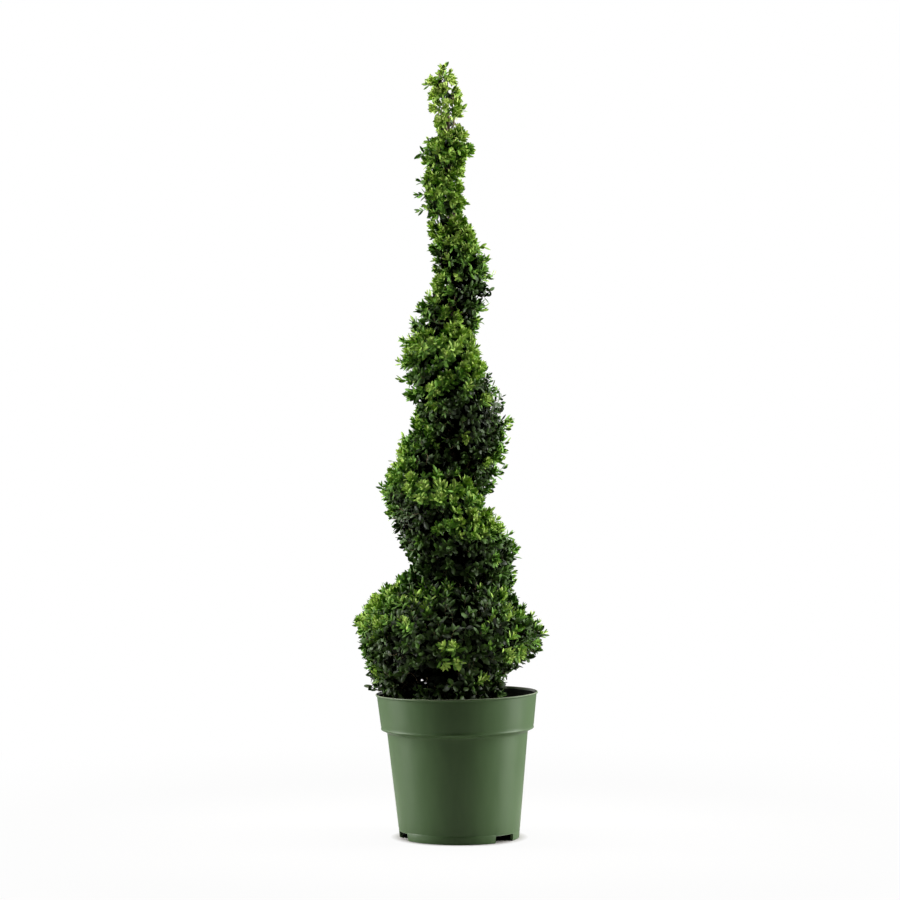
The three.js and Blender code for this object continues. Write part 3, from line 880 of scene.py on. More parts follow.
class Shoots:
    """The shoots of one turn. Each fact is an array with a row for each shoot."""

    def __init__(self, **facts):
        vars(self).update(facts)

    def only(self, kept):
        return Shoots(**{label: values[kept] for label, values in vars(self).items()})


def nearest(points, centres):
    gaps = np.linalg.norm(points[:, None] - centres[None], axis=-1)
    return np.argmin(gaps, axis=1)


def bent(start, leaving, end, arriving, bend):
    """Limbs that leave along one direction and arrive along another, and their lengths."""
    along, straight, last = bend
    way = end - start
    length = np.linalg.norm(way, axis=1, keepdims=True)
    leave = start + leaving * along * length + way * straight
    return np.stack([start, leave, end - arriving * last * length, end], axis=1), length[:, 0]


def grow_boughs(turn, count, twig_end):
    """Boughs that rise from the trunk to the clumps, the reach of each, and which one each twig has."""
    around, share, _ = spread(turn, count)
    aim = surface(turn, around, share)
    serves = nearest(twig_end, aim)
    used = np.unique(serves)
    around, aim = around[used], aim[used]
    axis = trunk_axis(aim[:, 2])
    reach = np.linalg.norm(aim - axis, axis=1)
    over, _, under = borders(turn, around)
    start_z = np.clip(aim[:, 2] - BOUGH_RISE * reach, under[:, 0] + BOUGH_GAP, over[:, 0] - BOUGH_GAP)
    start_z = np.clip(start_z, SOIL_TOP + TRUNK_END_GAP, TRUNK_TOP - TRUNK_END_GAP)
    start = around_trunk(angle_of(around), trunk_radius(start_z) * BOUGH_SUNK, start_z)
    end = axis + (aim - axis) * BOUGH_SHARE
    bends = [start + (end - start) * way - UP * sag * reach[:, None] for way, sag in BOUGH_BEND]
    return np.stack([start, *bends, end], axis=1), reach, np.searchsorted(used, serves)


def tip_offsets(tips, room, swell, from_groove, rng):
    """How far each tip stands out of the outline, and which ones the shears missed."""
    count = len(tips)
    stray = rng.random(count) < STRAY_SHARE
    clipped = -np.abs(rng.normal(0, ROUGHNESS, count)) * room + swell - TIP_UNDER * room
    grown_on = rng.uniform(*STRAY_SPREAD, count) * STRAY_LENGTH * room - TIP_UNDER * room
    offset = np.where(stray, grown_on, clipped)
    offset = np.where(patch_youth_and_painted_light(tips) > LATE_YOUTH, np.maximum(offset, LATE_OUT * room), offset)
    return offset * from_groove + GROOVE_FILL * room * (1 - from_groove), stray


def grow_turn(turn, name):
    """The boughs of a turn with their reach, its twigs, its shoots, and the random numbers so far."""
    rng = np.random.default_rng(SEED + turn)
    count = int(turn_areas[turn] / SHOOT_AREA)
    twig_count = max(LEAST_TWIGS, count // SHOOTS_A_TWIG)

    # clump middles, a little in and out of the outline
    around, share, _ = spread(turn, twig_count)
    middle = surface(turn, around, share)
    outward = surface_normal(turn, around, share)
    depth = reach_at(borders(turn, around), middle[:, 2]) - trunk_radius(middle[:, 2])
    swell = rng.uniform(*CLUMP_SWELL, twig_count) * MM * np.clip(depth / FULL_DEPTH, LEAST_SWELL, 1)
    twig_end = middle - outward * np.minimum(TWIG_DEPTH, TWIG_DEPTH_SHARE * depth)[:, None]
    boughs, reach, serves = grow_boughs(turn, max(LEAST_BOUGHS, twig_count // TWIGS_A_BOUGH), twig_end)
    start, along = curve_at(boughs[serves], rng.uniform(*TWIG_ALONG, twig_count))
    twigs, _ = bent(start, along, twig_end, outward + UP * TWIG_LIFT, TWIG_BEND)

    # shoot tips, each drawn to its clump and set in or out
    around, share, _ = spread(turn, count, GROOVE_CROWDING)
    tips = surface(turn, around, share)
    normal = surface_normal(turn, around, share)
    own = nearest(tips, middle)
    drawn = CLUMPING * rng.uniform(*CLUMPING_SPREAD, count)
    tips = tips + (middle[own] - tips) * drawn[:, None]
    room = np.clip(depth[own] / FULL_DEPTH, LEAST_ROOM, 1)
    from_groove = groove_distance(share)
    offset, stray = tip_offsets(tips, room, swell[own], from_groove, rng)
    scatter = rng.normal(0, GROOVE_SCATTER, count) * room * (1 - from_groove)
    tips = tips + normal * offset[:, None] + UP * scatter[:, None]
    lone = np.zeros(count, dtype=bool)
    for x, z in LONE_SHOOTS.get(name, []):
        wanted = np.array([x * MM, trunk_axis(np.array([z * MM]))[0, 1], z * MM])
        closest = np.argmin(np.linalg.norm(tips - wanted, axis=1))
        tips[closest] = wanted
        stray[closest] = lone[closest] = True

    # shoots leave their twigs and turn up to their tips
    upwards = rng.uniform(*SHOOT_LIFT, count)[:, None]
    way = unit(normal + UP * upwards + rng.normal(0, SHOOT_SCATTER, (count, 3)))
    start, along = curve_at(twigs[own], rng.uniform(*SHOOT_ALONG, count))
    limbs, length = bent(start, along, tips, way, SHOOT_BEND)
    shoots = Shoots(
        limbs=limbs, tips=tips, length=length, room=room, stray=stray, lone=lone,
        offset=offset, share=share, from_groove=from_groove, sideways=np.abs(normal[:, 0]),
        clump_youth=rng.random(twig_count)[own])
    keep = clear_of_pot(tips) & clear_of_pot(curve_at(limbs, np.full(count, SHOOT_MIDDLE))[0])
    return boughs, reach, twigs, shoots.only(keep & stays(tips, rng)), rng


print("the lowest turn has", len(grow_turn(7, "foliage_foot")[3].tips), "shoots before it is thinned")

# %% [markdown]
# ## Leaves on the shoots
#
# Box leaves sit in opposite pairs. Near the tip they are small, close together and folded
# forward; further back they are full size and spread wide. The older a pair is, the darker it
# gets. Each shoot is dealt one of four ages, because the shears leave a mix of new growth and
# old, and the top of the plant is young. The ages also carry painted light and painted shade: the
# rim of a turn, where new growth stands as well, and the sides that face the soft boxes get
# younger, lighter tints, and the belly under a rim, the grooves, the skirt's front and back under
# the turns above, and the foot get older, darker ones. Old growth is leafy but sparse, so only
# some of its shoots are kept.

# %% Leaf pairs, and what makes a shoot young, with painted light and shade
# for each pair back from the tip: how far from it in mm, leaf length share, splay in degrees
NEW_PAIRS = np.array([
    [0.3, 0.56, 12], [3, 0.78, 25], [7, 0.90, 38], [13, 0.94, 50], [20, 0.92, 60], [28, 0.88, 66],
])
OLD_PAIRS = np.array([
    [0.5, 0.70, 24], [7, 1.03, 44], [17, 1.17, 56], [28, 1.19, 64], [40, 1.14, 68], [52, 1.06, 72],
])
SURE_PAIRS = 3  # the first pairs are all there, and a few leaves of the rest have dropped
LATER_PAIRS_LEFT = 0.9
BARE_SHARE = 0.12  # no leaves on this part of a shoot, at its foot
LEAF_LENGTH = 17 * MM
NEW_WIDTH_SHARE = 0.35
OLD_WIDTH_SHARE = 0.49
# the tint of each pair, back from the tip, for a young, fresh, grown or old shoot; the pairs
# further back lie deeper in, so their darker tints are partly age and partly painted shade, down
# to the nearly black one
AGE_TINTS = np.array([
    [0, 1, 1, 2, 3, 5],
    [1, 2, 2, 3, 5, 6],
    [3, 4, 5, 5, 6, 7],
    [4, 5, 6, 6, 7, 7],
])
AGE_STEPS = [0.50, 0.84, 1.14]  # the youth from which on a shoot is grown, fresh and young

# Where something fades in: start and width, or a width below zero where it fades in downwards.
RIM = (0.53, 0.2)  # shares of a turn's height
LEADER = (1.21, 0.04)  # metres up, as are the rest
WIDE = (0.98, 0.1)  # young leaves up there are broader, and there are fewer of them
SMALL = (0.46, 0.1)  # old leaves over the skirt are smaller
# the skirt and the foot: where painted shade darkens the leaves, and where the skirt mixes in single young
# shoots
SKIRT = (0.46, -0.08)
FOOT = (0.31, -0.05)

PATCHES_A_METRE = 22.0
OUT_MOST = 0.012
LONE_YOUTH = 1.0

KEPT_BY_AGE = np.array([1.0, 0.85, 0.52, 0.32])  # young to old: the share of shoots that live
KEPT_ON_LEADER = 0.6
KEPT_AT_SIDES = 0.5
FACING_SIDES = (0.5, 1)
FEWER_WIDE = 0.16


def shoot_ages_and_painted_light(shoots, rng):
    """0 young to 3 old. Each reason, of age or of painted light and shade, adds its weight times an amount.
    """
    height = shoots.tips[:, 2]
    low = ramp(height, *SKIRT)
    chance = rng.random(len(height))
    in_groove = 1 - shoots.from_groove
    reasons = [
        (0.16, 1),
        # painted light, partly real: a rim's leaves are lighter where the light from above falls, and new
        # growth stands there too
        (0.74, ramp(shoots.share, *RIM)),  # a rim catches the light
        (0.45, np.array([noise.noise(Vector(tip) * PATCHES_A_METRE) for tip in shoots.tips])),
        (0.45, shoots.clump_youth),
        (0.78, height - 0.5),
        # painted light: leaves that face left and right, towards the soft boxes, get lighter tints
        (0.50, shoots.sideways - 0.5),  # the light comes from the sides
        (0.60, ramp(height, *LEADER)),  # the leader is nearly all new growth
        # painted shade: the skirt's front and back, under the turns above, get darker tints
        (-0.55, low * (1 - shoots.sideways)),  # the turns above shade the skirt's front and back
        (0.30, chance - 0.25),  # luck
        (1.00, low * (chance - 0.47)),  # single young shoots stand among the skirt's old ones
        (12.0, np.clip(shoots.offset + TIP_UNDER, -OUT_MOST, OUT_MOST)),
        (0.25, shoots.stray),
        # painted shade: leaves in the grooves get darker tints
        (-0.30, in_groove * (shoots.share > 0.5)),
        (-0.50, in_groove * (shoots.share <= 0.5)),
        # painted shade: the foot, under the skirt, gets darker tints
        (-1.00, ramp(height, *FOOT)),  # the skirt keeps the light off the foot
        (1.00, patch_youth_and_painted_light(shoots.tips)),
    ]
    youth = sum(weight * amount for weight, amount in reasons)
    youth = np.where(shoots.lone, LONE_YOUTH, youth)
    return len(AGE_STEPS) - np.digitize(youth, AGE_STEPS)


def thin_out(shoots, rng):
    """Deals out the ages and drops shoots: old growth is leafy but sparse, new growth is dense."""
    shoots.ages = shoot_ages_and_painted_light(shoots, rng)
    height = shoots.tips[:, 2]
    kept = KEPT_BY_AGE[shoots.ages] * np.where(height > LEADER[0], KEPT_ON_LEADER, 1)
    kept += KEPT_AT_SIDES * ramp(shoots.sideways, *FACING_SIDES)
    kept *= 1 - FEWER_WIDE * ramp(height, *WIDE)
    return shoots.only(shoots.lone | (rng.random(len(kept)) < kept))


print("leaf pairs on a shoot:", len(NEW_PAIRS), "ages:", len(AGE_TINTS))

# %% Leaves of one turn
PALER_ON_LEADER = 0.6  # share of the leader's shoots that are a step lighter
# painted shade: old shoots at the foot and on the skirt's front and back get leaves a step darker
PAINTED_SHADE_AT_FOOT = 0.3  # share of old shoots that are a step darker in the shade at the foot
PAINTED_SHADE_ON_SKIRT = 0.35
WIDER = 0.09
SMALLER = 0.23
CRAMPED = 0.12  # how much smaller leaves would be where there is no room at all
CLIPPED_AT = 12 * MM  # the shears leave no leaf further out than this
TIP_OVER = 4 * MM  # nor one further over the top
TWIST_SCATTER = 0.15
SPLAY_SCATTER = 9  # degrees
FACE_SCATTER = 0.18
SHOOT_SPREAD = (0.85, 1.12)  # leaf sizes differ this much from shoot to shoot
LENGTH_SPREAD = (0.88, 1.12)  # and these two from leaf to leaf
WIDTH_SPREAD = (0.9, 1.12)


def under_outline(turn, points):
    """How deep points lie under a turn's outline."""
    flat = points[:, :2] - trunk_axis(points[:, 2])[:, :2]
    around = (np.arctan2(flat[:, 1], flat[:, 0]) - math.pi / 2) / FULL_TURN % 1
    return reach_at(borders(turn, around), points[:, 2]) - np.hypot(flat[:, 0], flat[:, 1])


def leaves_of(turn, shoots, rng):
    """Roots, directions, faces, lengths, widths and tints of every leaf of a turn."""
    count = len(shoots.tips)
    height = shoots.tips[:, 2]
    new = shoots.ages < 2
    spin = rng.uniform(0, FULL_TURN, count)
    chance = rng.random(count)
    paler = (height > LEADER[0]) & (chance < PALER_ON_LEADER)
    # painted shade: a step darker for some old shoots at the foot and on the skirt's front and back
    painted_shade_share = PAINTED_SHADE_ON_SKIRT * ramp(height, *SKIRT) * (1 - shoots.sideways)
    painted_shade_step = ~new & ((height < FOOT[0]) & (chance < PAINTED_SHADE_AT_FOOT) | (chance < painted_shade_share))
    size = rng.uniform(*SHOOT_SPREAD, count) * (1 - CRAMPED + CRAMPED * shoots.room)
    size *= np.where(new, 1, 1 - SMALLER * ramp(height, *SMALL))
    slim = np.where(new, NEW_WIDTH_SHARE + WIDER * ramp(height, *WIDE), OLD_WIDTH_SHARE)
    parts = []
    for pair in range(len(NEW_PAIRS)):
        back, share, splay = np.where(new[:, None], NEW_PAIRS[pair], OLD_PAIRS[pair]).T
        at = 1 - back * MM * size / shoots.length
        left = 1.0 if pair < SURE_PAIRS else LATER_PAIRS_LEFT
        alive = (at > BARE_SHARE) & (rng.random(count) < left)
        point, axis = curve_at(shoots.limbs, np.clip(at, 0, 1))
        side, other = across(axis)
        for half in (0, math.pi):
            angle = spin + pair * math.pi / 2 + half + rng.normal(0, TWIST_SCATTER, count)
            out = outward_at(side, other, angle)
            lean = np.radians(splay + rng.normal(0, SPLAY_SCATTER, count))[:, None]
            along = axis * np.cos(lean) + out * np.sin(lean)
            face = axis * np.sin(lean) - out * np.cos(lean) + rng.normal(0, FACE_SCATTER, (count, 3))
            length = LEAF_LENGTH * size * share * rng.uniform(*LENGTH_SPREAD, count)
            width = length * slim * rng.uniform(*WIDTH_SPREAD, count)
            tint = np.clip(AGE_TINTS[shoots.ages, pair] - paler + painted_shade_step, 0, len(LEAVES) - 1)
            end = point + along * length[:, None]
            good = alive & clear_of_pot(end) & (end[:, 2] < PLANT_TOP + TIP_OVER) & stays(end, rng)
            good &= shoots.lone | (under_outline(turn, end) > -CLIPPED_AT)
            parts.append([values[good] for values in (point, along, face, length, width, tint)])
    return [np.concatenate(column) for column in zip(*parts)]


most = SHOOT_SPREAD[1] * LENGTH_SPREAD[1] * OLD_PAIRS[:, 1].max()
print("longest leaf, millimetres:", round(LEAF_LENGTH / MM * most, 1))

# %% [markdown]
# ## Old leaves deep inside
#
# Behind the clipped surface a real shrub is not empty. Old leaves sit along the twigs and boughs,
# and it is they that close the view through the plant. They get a nearly black tint, which is
# painted shade for the want of light in there. The same leaf is laid in opposite pairs along those
# limbs, well under the outline. The leader and its tufts are thin enough to let light through, so
# their inner leaves are fewer, and their painted shade is a dark green and not nearly black.

# %% Inner leaves
SHADE_ON_TWIG = 12  # old leaves along each twig
SHADE_ON_BOUGH = 22
SHADE_SHARE = [0.34, 0.34, 0.34, 1.0, 1.3, 1.4, 1.6, 1.9]  # of those numbers, for each turn
SHADE_ALONG = (0.2, 1.0)  # where they sit on their limb
SHADE_FORWARD = 0.35
SHADE_SCATTER = (0.25, 0.3)  # of their directions, and of the way they face
SHADE_LENGTH = 20 * MM
SHADE_SPREAD = (0.8, 1.15)
SHADE_UNDER = 11 * MM  # they keep this far under the outline
AIRY_TURNS = 3


def shade_leaves(turn, limbs, each, rng):
    """Old leaves in opposite pairs along twigs or boughs, as corners, no quads, and triangles."""
    owner = np.repeat(np.arange(len(limbs)), int(each * SHADE_SHARE[turn]) // 2)
    count = len(owner)
    point, axis = curve_at(limbs[owner], rng.uniform(*SHADE_ALONG, count))
    side, other = across(axis)
    angle = rng.uniform(0, FULL_TURN, count)
    parts = []
    for half in (0, math.pi):
        out = outward_at(side, other, angle + half)
        along = unit(axis * SHADE_FORWARD + out + rng.normal(0, SHADE_SCATTER[0], (count, 3)))
        face = axis + rng.normal(0, SHADE_SCATTER[1], (count, 3))
        length = SHADE_LENGTH * rng.uniform(*SHADE_SPREAD, count)
        end = point + along * length[:, None]
        good = clear_of_pot(end) & clear_of_pot(point) & stays(end, rng)
        good &= under_outline(turn, end) > SHADE_UNDER
        parts.append([a[good] for a in (point, along, face, length, length * OLD_WIDTH_SHARE)])
    corners, faces = leaf_mesh(*[np.concatenate(column) for column in zip(*parts)])
    return corners, NO_QUADS, faces


print("old leaves on a twig of the skirt:", int(SHADE_ON_TWIG * SHADE_SHARE[6]))

# %% [markdown]
# ## All turns
#
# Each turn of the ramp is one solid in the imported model. Three meshes stand for it: the leaves
# that show, the old leaves inside, and the wood that carries both. Boughs are thick enough to
# show their roundness, so they get six sides; twigs do with four and shoots with three.

# %% Grow every turn
BOUGH_SHAPE = (8, 6)  # steps along, sides
TWIG_SHAPE = (6, 4)
SHOOT_SHAPE = (5, 3)
BOUGH_RADII = (0.9 * MM, 2.8 * MM)  # least and most at the foot
BOUGH_RADIUS_SHARE = 0.022  # of its reach
BOUGH_TAPER = 0.45
TWIG_RADII = (1.0 * MM, 0.65 * MM)  # foot, tip
SHOOT_RADII = (0.8 * MM, 0.45 * MM)


def wood_of(boughs, reach, twigs, shoots):
    """The tubes of a turn as one, and a wood for each face: 0 bough, 1 twig, 2 green shoot."""
    bough_foot = np.clip(reach * BOUGH_RADIUS_SHARE, *BOUGH_RADII)
    parts = [
        limb_tubes(boughs, *BOUGH_SHAPE, bough_foot, bough_foot * BOUGH_TAPER),
        limb_tubes(twigs, *TWIG_SHAPE, *TWIG_RADII),
        limb_tubes(shoots.limbs, *SHOOT_SHAPE, *SHOOT_RADII),
    ]
    kinds = [np.full(len(boughs), 0), np.full(len(twigs), 1), np.where(shoots.ages < 2, 2, 1)]
    woods = [np.repeat(kind, len(part[i]) // len(kind)) for i in (1, 2) for kind, part in zip(kinds, parts)]
    return join(parts), np.concatenate(woods)


leaf_total = 0
for turn, name in enumerate(TURNS):
    boughs, reach, twigs, shoots, rng = grow_turn(turn, name)
    shoots = thin_out(shoots, rng)
    *leaf_facts, tints = leaves_of(turn, shoots, rng)
    corners, faces = leaf_mesh(*leaf_facts)
    tints_by_face = np.repeat(tints, len(LEAF_FACES))
    mesh_piece(name.replace("foliage", "leaves"), corners, [faces], LEAVES, name, tints_by_face)

    on_twigs = shade_leaves(turn, twigs, SHADE_ON_TWIG, rng)
    on_boughs = shade_leaves(turn, boughs, SHADE_ON_BOUGH, rng)
    corners, _, faces = join([on_twigs, on_boughs])
    # painted shade: the inner leaves get the nearly black tint, or the dark green one in the airy turns
    tint = LEAVES[-2] if turn < AIRY_TURNS else LEAVES[-1]
    mesh_piece(name.replace("foliage", "shade"), corners, [faces], [tint], name)
    leaf_total += len(tints) + len(faces) // len(LEAF_FACES)

    (corners, quads, ends), woods = wood_of(boughs, reach, twigs, shoots)
    mesh_piece(name.replace("foliage", "twigs"), corners, [quads, ends], WOODS, name, woods)
    print(name, "boughs", len(boughs), "twigs", len(twigs), "shoots", len(shoots.tips))
    print(name, "leaves by tint", np.bincount(tints, minlength=len(LEAVES)))
print("leaves in all:", leaf_total)

# %% [markdown]
# ## The trunk
#
# One stem, straight from years on a cane, runs from its flare at the soil to the tip and shows
# only in the deep grooves. The imported trunk has the right line and taper but flat faces. A finer
# tube on the same line gets real relief: long shallow cracks, and rings that swell a little here
# and there along it.

# %% Trunk with bark relief
TRUNK_SIDES = 26
TRUNK_RINGS = 330
TRUNK_SUNK = 0.001  # metres under the soil's top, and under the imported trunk's tip
CRACK_DEPTH = 0.0011
CRACK_MOST = 0.12  # of the radius, where the trunk is thin
CRACKS_ROUND = 2.2  # how often the cracks change round the trunk, and along it
CRACKS_ALONG = 26
CRACK_EDGE = 4.0
SWELLS_ROUND = 0.6
SWELLS_ALONG = 40
SWELL_SHARE = 0.35
CUT_TOP = 0.5  # the last ring is drawn in to this share


def bark_relief(angle, z):
    """How far the bark stands out, in crack depths: 0 between the cracks, -1 at their bottoms."""
    place = Vector((math.cos(angle) * CRACKS_ROUND, math.sin(angle) * CRACKS_ROUND, z * CRACKS_ALONG))
    swell = noise.noise(Vector((0.0, angle * SWELLS_ROUND, z * SWELLS_ALONG)))
    crack = abs(noise.noise(place))
    return SWELL_SHARE * swell + (min(crack * CRACK_EDGE, 1.0) - 1.0)


z = np.linspace(SOIL_TOP - TRUNK_SUNK, TRUNK_TOP - TRUNK_SUNK, TRUNK_RINGS)
angle = np.arange(TRUNK_SIDES) * FULL_TURN / TRUNK_SIDES
radius = trunk_radius(z)
relief = np.array([[bark_relief(a, height) for a in angle] for height in z])
wall = radius[:, None] + relief * np.minimum(CRACK_DEPTH, radius * CRACK_MOST)[:, None]
wall[-1] *= CUT_TOP
rings = around_trunk(angle, wall, z[:, None]).reshape(-1, 3)
corners = np.concatenate([rings, trunk_axis(z[[0, -1]])])
faces = skin(np.arange(len(rings)).reshape(TRUNK_RINGS, TRUNK_SIDES))
mesh_piece("trunk_bark", corners, faces, [BARK], "trunk")

# %% [markdown]
# ## The pot
#
# A blow-moulded nursery pot: thin tapered wall, a wide collar for lifting, a rolled rim, and a
# foot ring with drain notches. It is one lathe profile, with fillets where the mould has them.
# The notches are made by lifting the foot of the profile over a short angle, which keeps one
# clean mesh. The whole pot leans a hair to the left over a flat base, as soft pots do.

# %% Pot profile
POT_COLUMNS = 288
BASE_RADIUS = 0.1035
BODY_TOP_RADIUS = 0.122
BODY_TOP_Z = 0.183
PAD_RADIUS = 0.062
PAD_ROUND = 0.002
CHANNEL_HEIGHT = 0.014
FOOT_WIDTH = 0.0035
FOOT_ROUND = 0.0012
NOTCH_MIDDLES = [math.radians(-41 + 120 * i) for i in range(3)]
NOTCH_HALF = math.radians(12.5)
NOTCH_HEIGHT = 0.012
NOTCH_ROUND = np.array([0.0003, 0.0009])  # how the two rows over a notch stay apart
NOTCH_EDGE = 0.004  # radians from a notch's end to the columns at its sides
NOTCH_CLEAR = 0.012  # no other column is nearer to that end
STEP_HEIGHT = 0.0145  # the thin line round the foot
BEAD_RADIUS = 0.0017
SHARP_EDGE = 32  # degrees: edges that turn more than this stay crisp


def arc(centre, radius, start, end, steps):
    """Points [radius, height] on an arc, its angles in degrees from straight out."""
    angles = np.radians(np.linspace(start, end, steps))
    return [[centre[0] + radius * math.cos(a), centre[1] + radius * math.sin(a)] for a in angles]


def pot_profile():
    """From the middle of the underside, up the outside, over the rim and down to the floor."""
    pad = PAD_RADIUS - PAD_ROUND
    profile = [[0, 0], [pad, 0]]
    profile += arc((pad, PAD_ROUND), PAD_ROUND, -90, 0, 4)
    profile += [[PAD_RADIUS + 0.004, CHANNEL_HEIGHT - 0.001], [PAD_RADIUS + 0.006, CHANNEL_HEIGHT]]
    profile += [[BASE_RADIUS - 0.007, CHANNEL_HEIGHT], [BASE_RADIUS - 0.005, CHANNEL_HEIGHT - 0.001]]
    foot_start = len(profile)
    foot = BASE_RADIUS - FOOT_ROUND
    profile += [[BASE_RADIUS - 0.0042, 0.001], [BASE_RADIUS - FOOT_WIDTH, 0], [foot, 0]]
    profile += arc((foot, FOOT_ROUND), FOOT_ROUND, -60, 0, 3)
    foot_end = len(profile)
    slope = (BODY_TOP_RADIUS - BASE_RADIUS) / BODY_TOP_Z
    profile.append([BASE_RADIUS + slope * (STEP_HEIGHT - 0.0012), STEP_HEIGHT - 0.0012])
    profile.append([BASE_RADIUS + slope * STEP_HEIGHT - 0.0005, STEP_HEIGHT])
    for z in np.linspace(STEP_HEIGHT + 0.003, BODY_TOP_Z - 0.003, 12):
        profile.append([BASE_RADIUS + slope * z, z])
    profile.append([BODY_TOP_RADIUS + 0.0001, BODY_TOP_Z - 0.0006])
    profile.append([BODY_TOP_RADIUS + 0.0008, BODY_TOP_Z + 0.0002])
    profile.append([COLLAR_FOOT_RADIUS - 0.0024, COLLAR_FOOT_Z - 0.0030])
    profile += arc((COLLAR_FOOT_RADIUS - 0.0014, COLLAR_FOOT_Z - 0.0008), 0.0019, -70, 40, 6)
    profile.append([COLLAR_FOOT_RADIUS - 0.0001, COLLAR_FOOT_Z + 0.0016])
    for share in np.linspace(0.1, 0.93, 5):
        radius = COLLAR_FOOT_RADIUS + (RIM_RADIUS - 0.0012 - COLLAR_FOOT_RADIUS) * share
        profile.append([radius, COLLAR_FOOT_Z + (POT_HEIGHT - COLLAR_FOOT_Z) * share])
    bead = (RIM_RADIUS - BEAD_RADIUS * 0.6, POT_HEIGHT - BEAD_RADIUS)
    profile += arc(bead, BEAD_RADIUS, -50, 10, 4)
    lip_start = len(profile)
    profile += arc(bead, BEAD_RADIUS, 30, 150, 6)
    inside_start = len(profile)
    for share in np.linspace(0.93, 0.0, 5):
        radius = COLLAR_FOOT_RADIUS + COLLAR_FLARE * share - POT_WALL
        profile.append([radius, COLLAR_FOOT_Z + POT_WALL + (POT_HEIGHT - COLLAR_FOOT_Z - POT_WALL) * share])
    profile.append([BODY_TOP_RADIUS - POT_WALL, BODY_TOP_Z])
    profile.append([BASE_RADIUS - POT_WALL, CHANNEL_HEIGHT + POT_WALL])
    profile.append([PAD_RADIUS + POT_WALL, CHANNEL_HEIGHT + POT_WALL])
    profile += [[PAD_RADIUS - POT_WALL, POT_WALL], [0, POT_WALL]]
    return np.array(profile), foot_start, foot_end, lip_start, inside_start


profile, foot_start, foot_end, lip_start, inside_start = pot_profile()
print("pot profile:", len(profile), "points, foot", foot_start, "to", foot_end)

# %% [markdown]
# ## The pot's plastic
#
# Sage-green polypropylene, coloured right through. It is satin, so the soft boxes show as two
# broad vertical glows. A recycled plastic pot is never quite even: faint cloudiness, a little
# dust in patches, and a fine skin texture that keeps the highlights soft. The lip is paler, partly
# rubbed by handling and partly a painted highlight along its top edge. The inside is nearly black:
# painted shade for the dark in the pot, with darker splashes of soil that watering left on it.

# %% Pot materials
CLOUDS = ((14, 14, 7), 0.55, 5.0)
DUST = ((60, 60, 9), 0.4, 8.0)
SKIN = ((1500, 1500, 1500), 0.12, 0.0002)
SPLASHES = ((90, 90, 50), 0.8, 7.0)
GRIT = ((1200, 1200, 1200), 0.6, 0.0006)
SATIN = (0.42, 0.58)  # roughness from clean to dusty


def pot_plastic(name, low, high, dusty):
    return layered(name, low, [(CLOUDS, high), (DUST, dusty)], SKIN, SATIN, 0.25)


POT_MATERIALS = [
    pot_plastic("pot_plastic", srgb(58, 82, 46), srgb(63, 87, 51), srgb(70, 93, 58)),
    # painted shade: the inside is nearly black for the dark in the pot, with real splashes of soil
    layered("pot_inside_soil_and_painted_shade", srgb(16, 19, 14), [(SPLASHES, srgb(14, 12, 10))], GRIT, 0.85, 0.2),
    # paler lip: partly rubbed by handling, partly a painted highlight along its top edge
    pot_plastic("pot_lip_wear_and_painted_highlight", srgb(104, 116, 90), srgb(112, 122, 98), srgb(130, 132, 112)),
]
ON_INSIDE, ON_LIP = 1, 2  # rows of that list
print("pot materials:", [m.name for m in POT_MATERIALS])


# %% Pot mesh
def leaned(points):
    """The pot's lean: sideways with height, with the base kept flat."""
    x, y, z = points.T
    return np.stack([x - POT_LEAN * z, y, z + POT_LEAN * x * z / POT_HEIGHT], axis=-1)


def angle_between(first, second):
    return abs((first - second + math.pi) % FULL_TURN - math.pi)


def pot_angles():
    """Even columns, with close pairs at the ends of each notch."""
    angles = set(np.round(np.arange(POT_COLUMNS) * FULL_TURN / POT_COLUMNS, 6))
    for middle in NOTCH_MIDDLES:
        for edge in (middle - NOTCH_HALF, middle + NOTCH_HALF):
            angles = {a for a in angles if angle_between(a, edge) > NOTCH_CLEAR}
            angles |= {round((edge + nudge) % FULL_TURN, 6) for nudge in (-NOTCH_EDGE, NOTCH_EDGE)}
    return np.array(sorted(angles))


def pot_mesh():
    """Corners of the pot, and a table of their numbers: rows of the profile, then columns."""
    angles = pot_angles()
    rows = profile[1:-1]
    radius, height = rows.T
    z = np.broadcast_to(height, (len(angles), len(rows))).copy()
    foot = slice(foot_start - 1, foot_end - 1)
    for i, angle in enumerate(angles):
        if any(angle_between(angle, middle) < NOTCH_HALF for middle in NOTCH_MIDDLES):
            z[i, foot] = np.maximum(z[i, foot], NOTCH_HEIGHT)
            z[i, foot_end - 1:foot_end + 1] = NOTCH_HEIGHT + NOTCH_ROUND
    grid = polar(radius, angles[:, None], z).reshape(-1, 3)
    corners = np.concatenate([grid, [[0, 0, profile[0][1]], [0, 0, profile[-1][1]]]])
    numbers = np.arange(len(grid)).reshape(len(angles), len(rows)).T
    return leaned(corners), numbers


corners, numbers = pot_mesh()
row_tints = np.zeros(len(numbers) - 1)
row_tints[lip_start - 1:] = ON_LIP
row_tints[inside_start - 1:] = ON_INSIDE
columns = numbers.shape[1]
tints = np.concatenate([np.repeat(row_tints, columns), np.zeros(columns), np.full(columns, ON_INSIDE)])
pot = mesh_piece("pot_shell", corners, skin(numbers), POT_MATERIALS, "pot", tints)
pot.data.set_sharp_from_angle(angle=math.radians(SHARP_EDGE))

# %% [markdown]
# ## Soil
#
# Potting mix: dark peat in crumbs, with bits of bark and wood fibre. A bump alone goes flat at a
# low angle, so the surface is a displaced disc, and loose crumbs and chips lie on it.

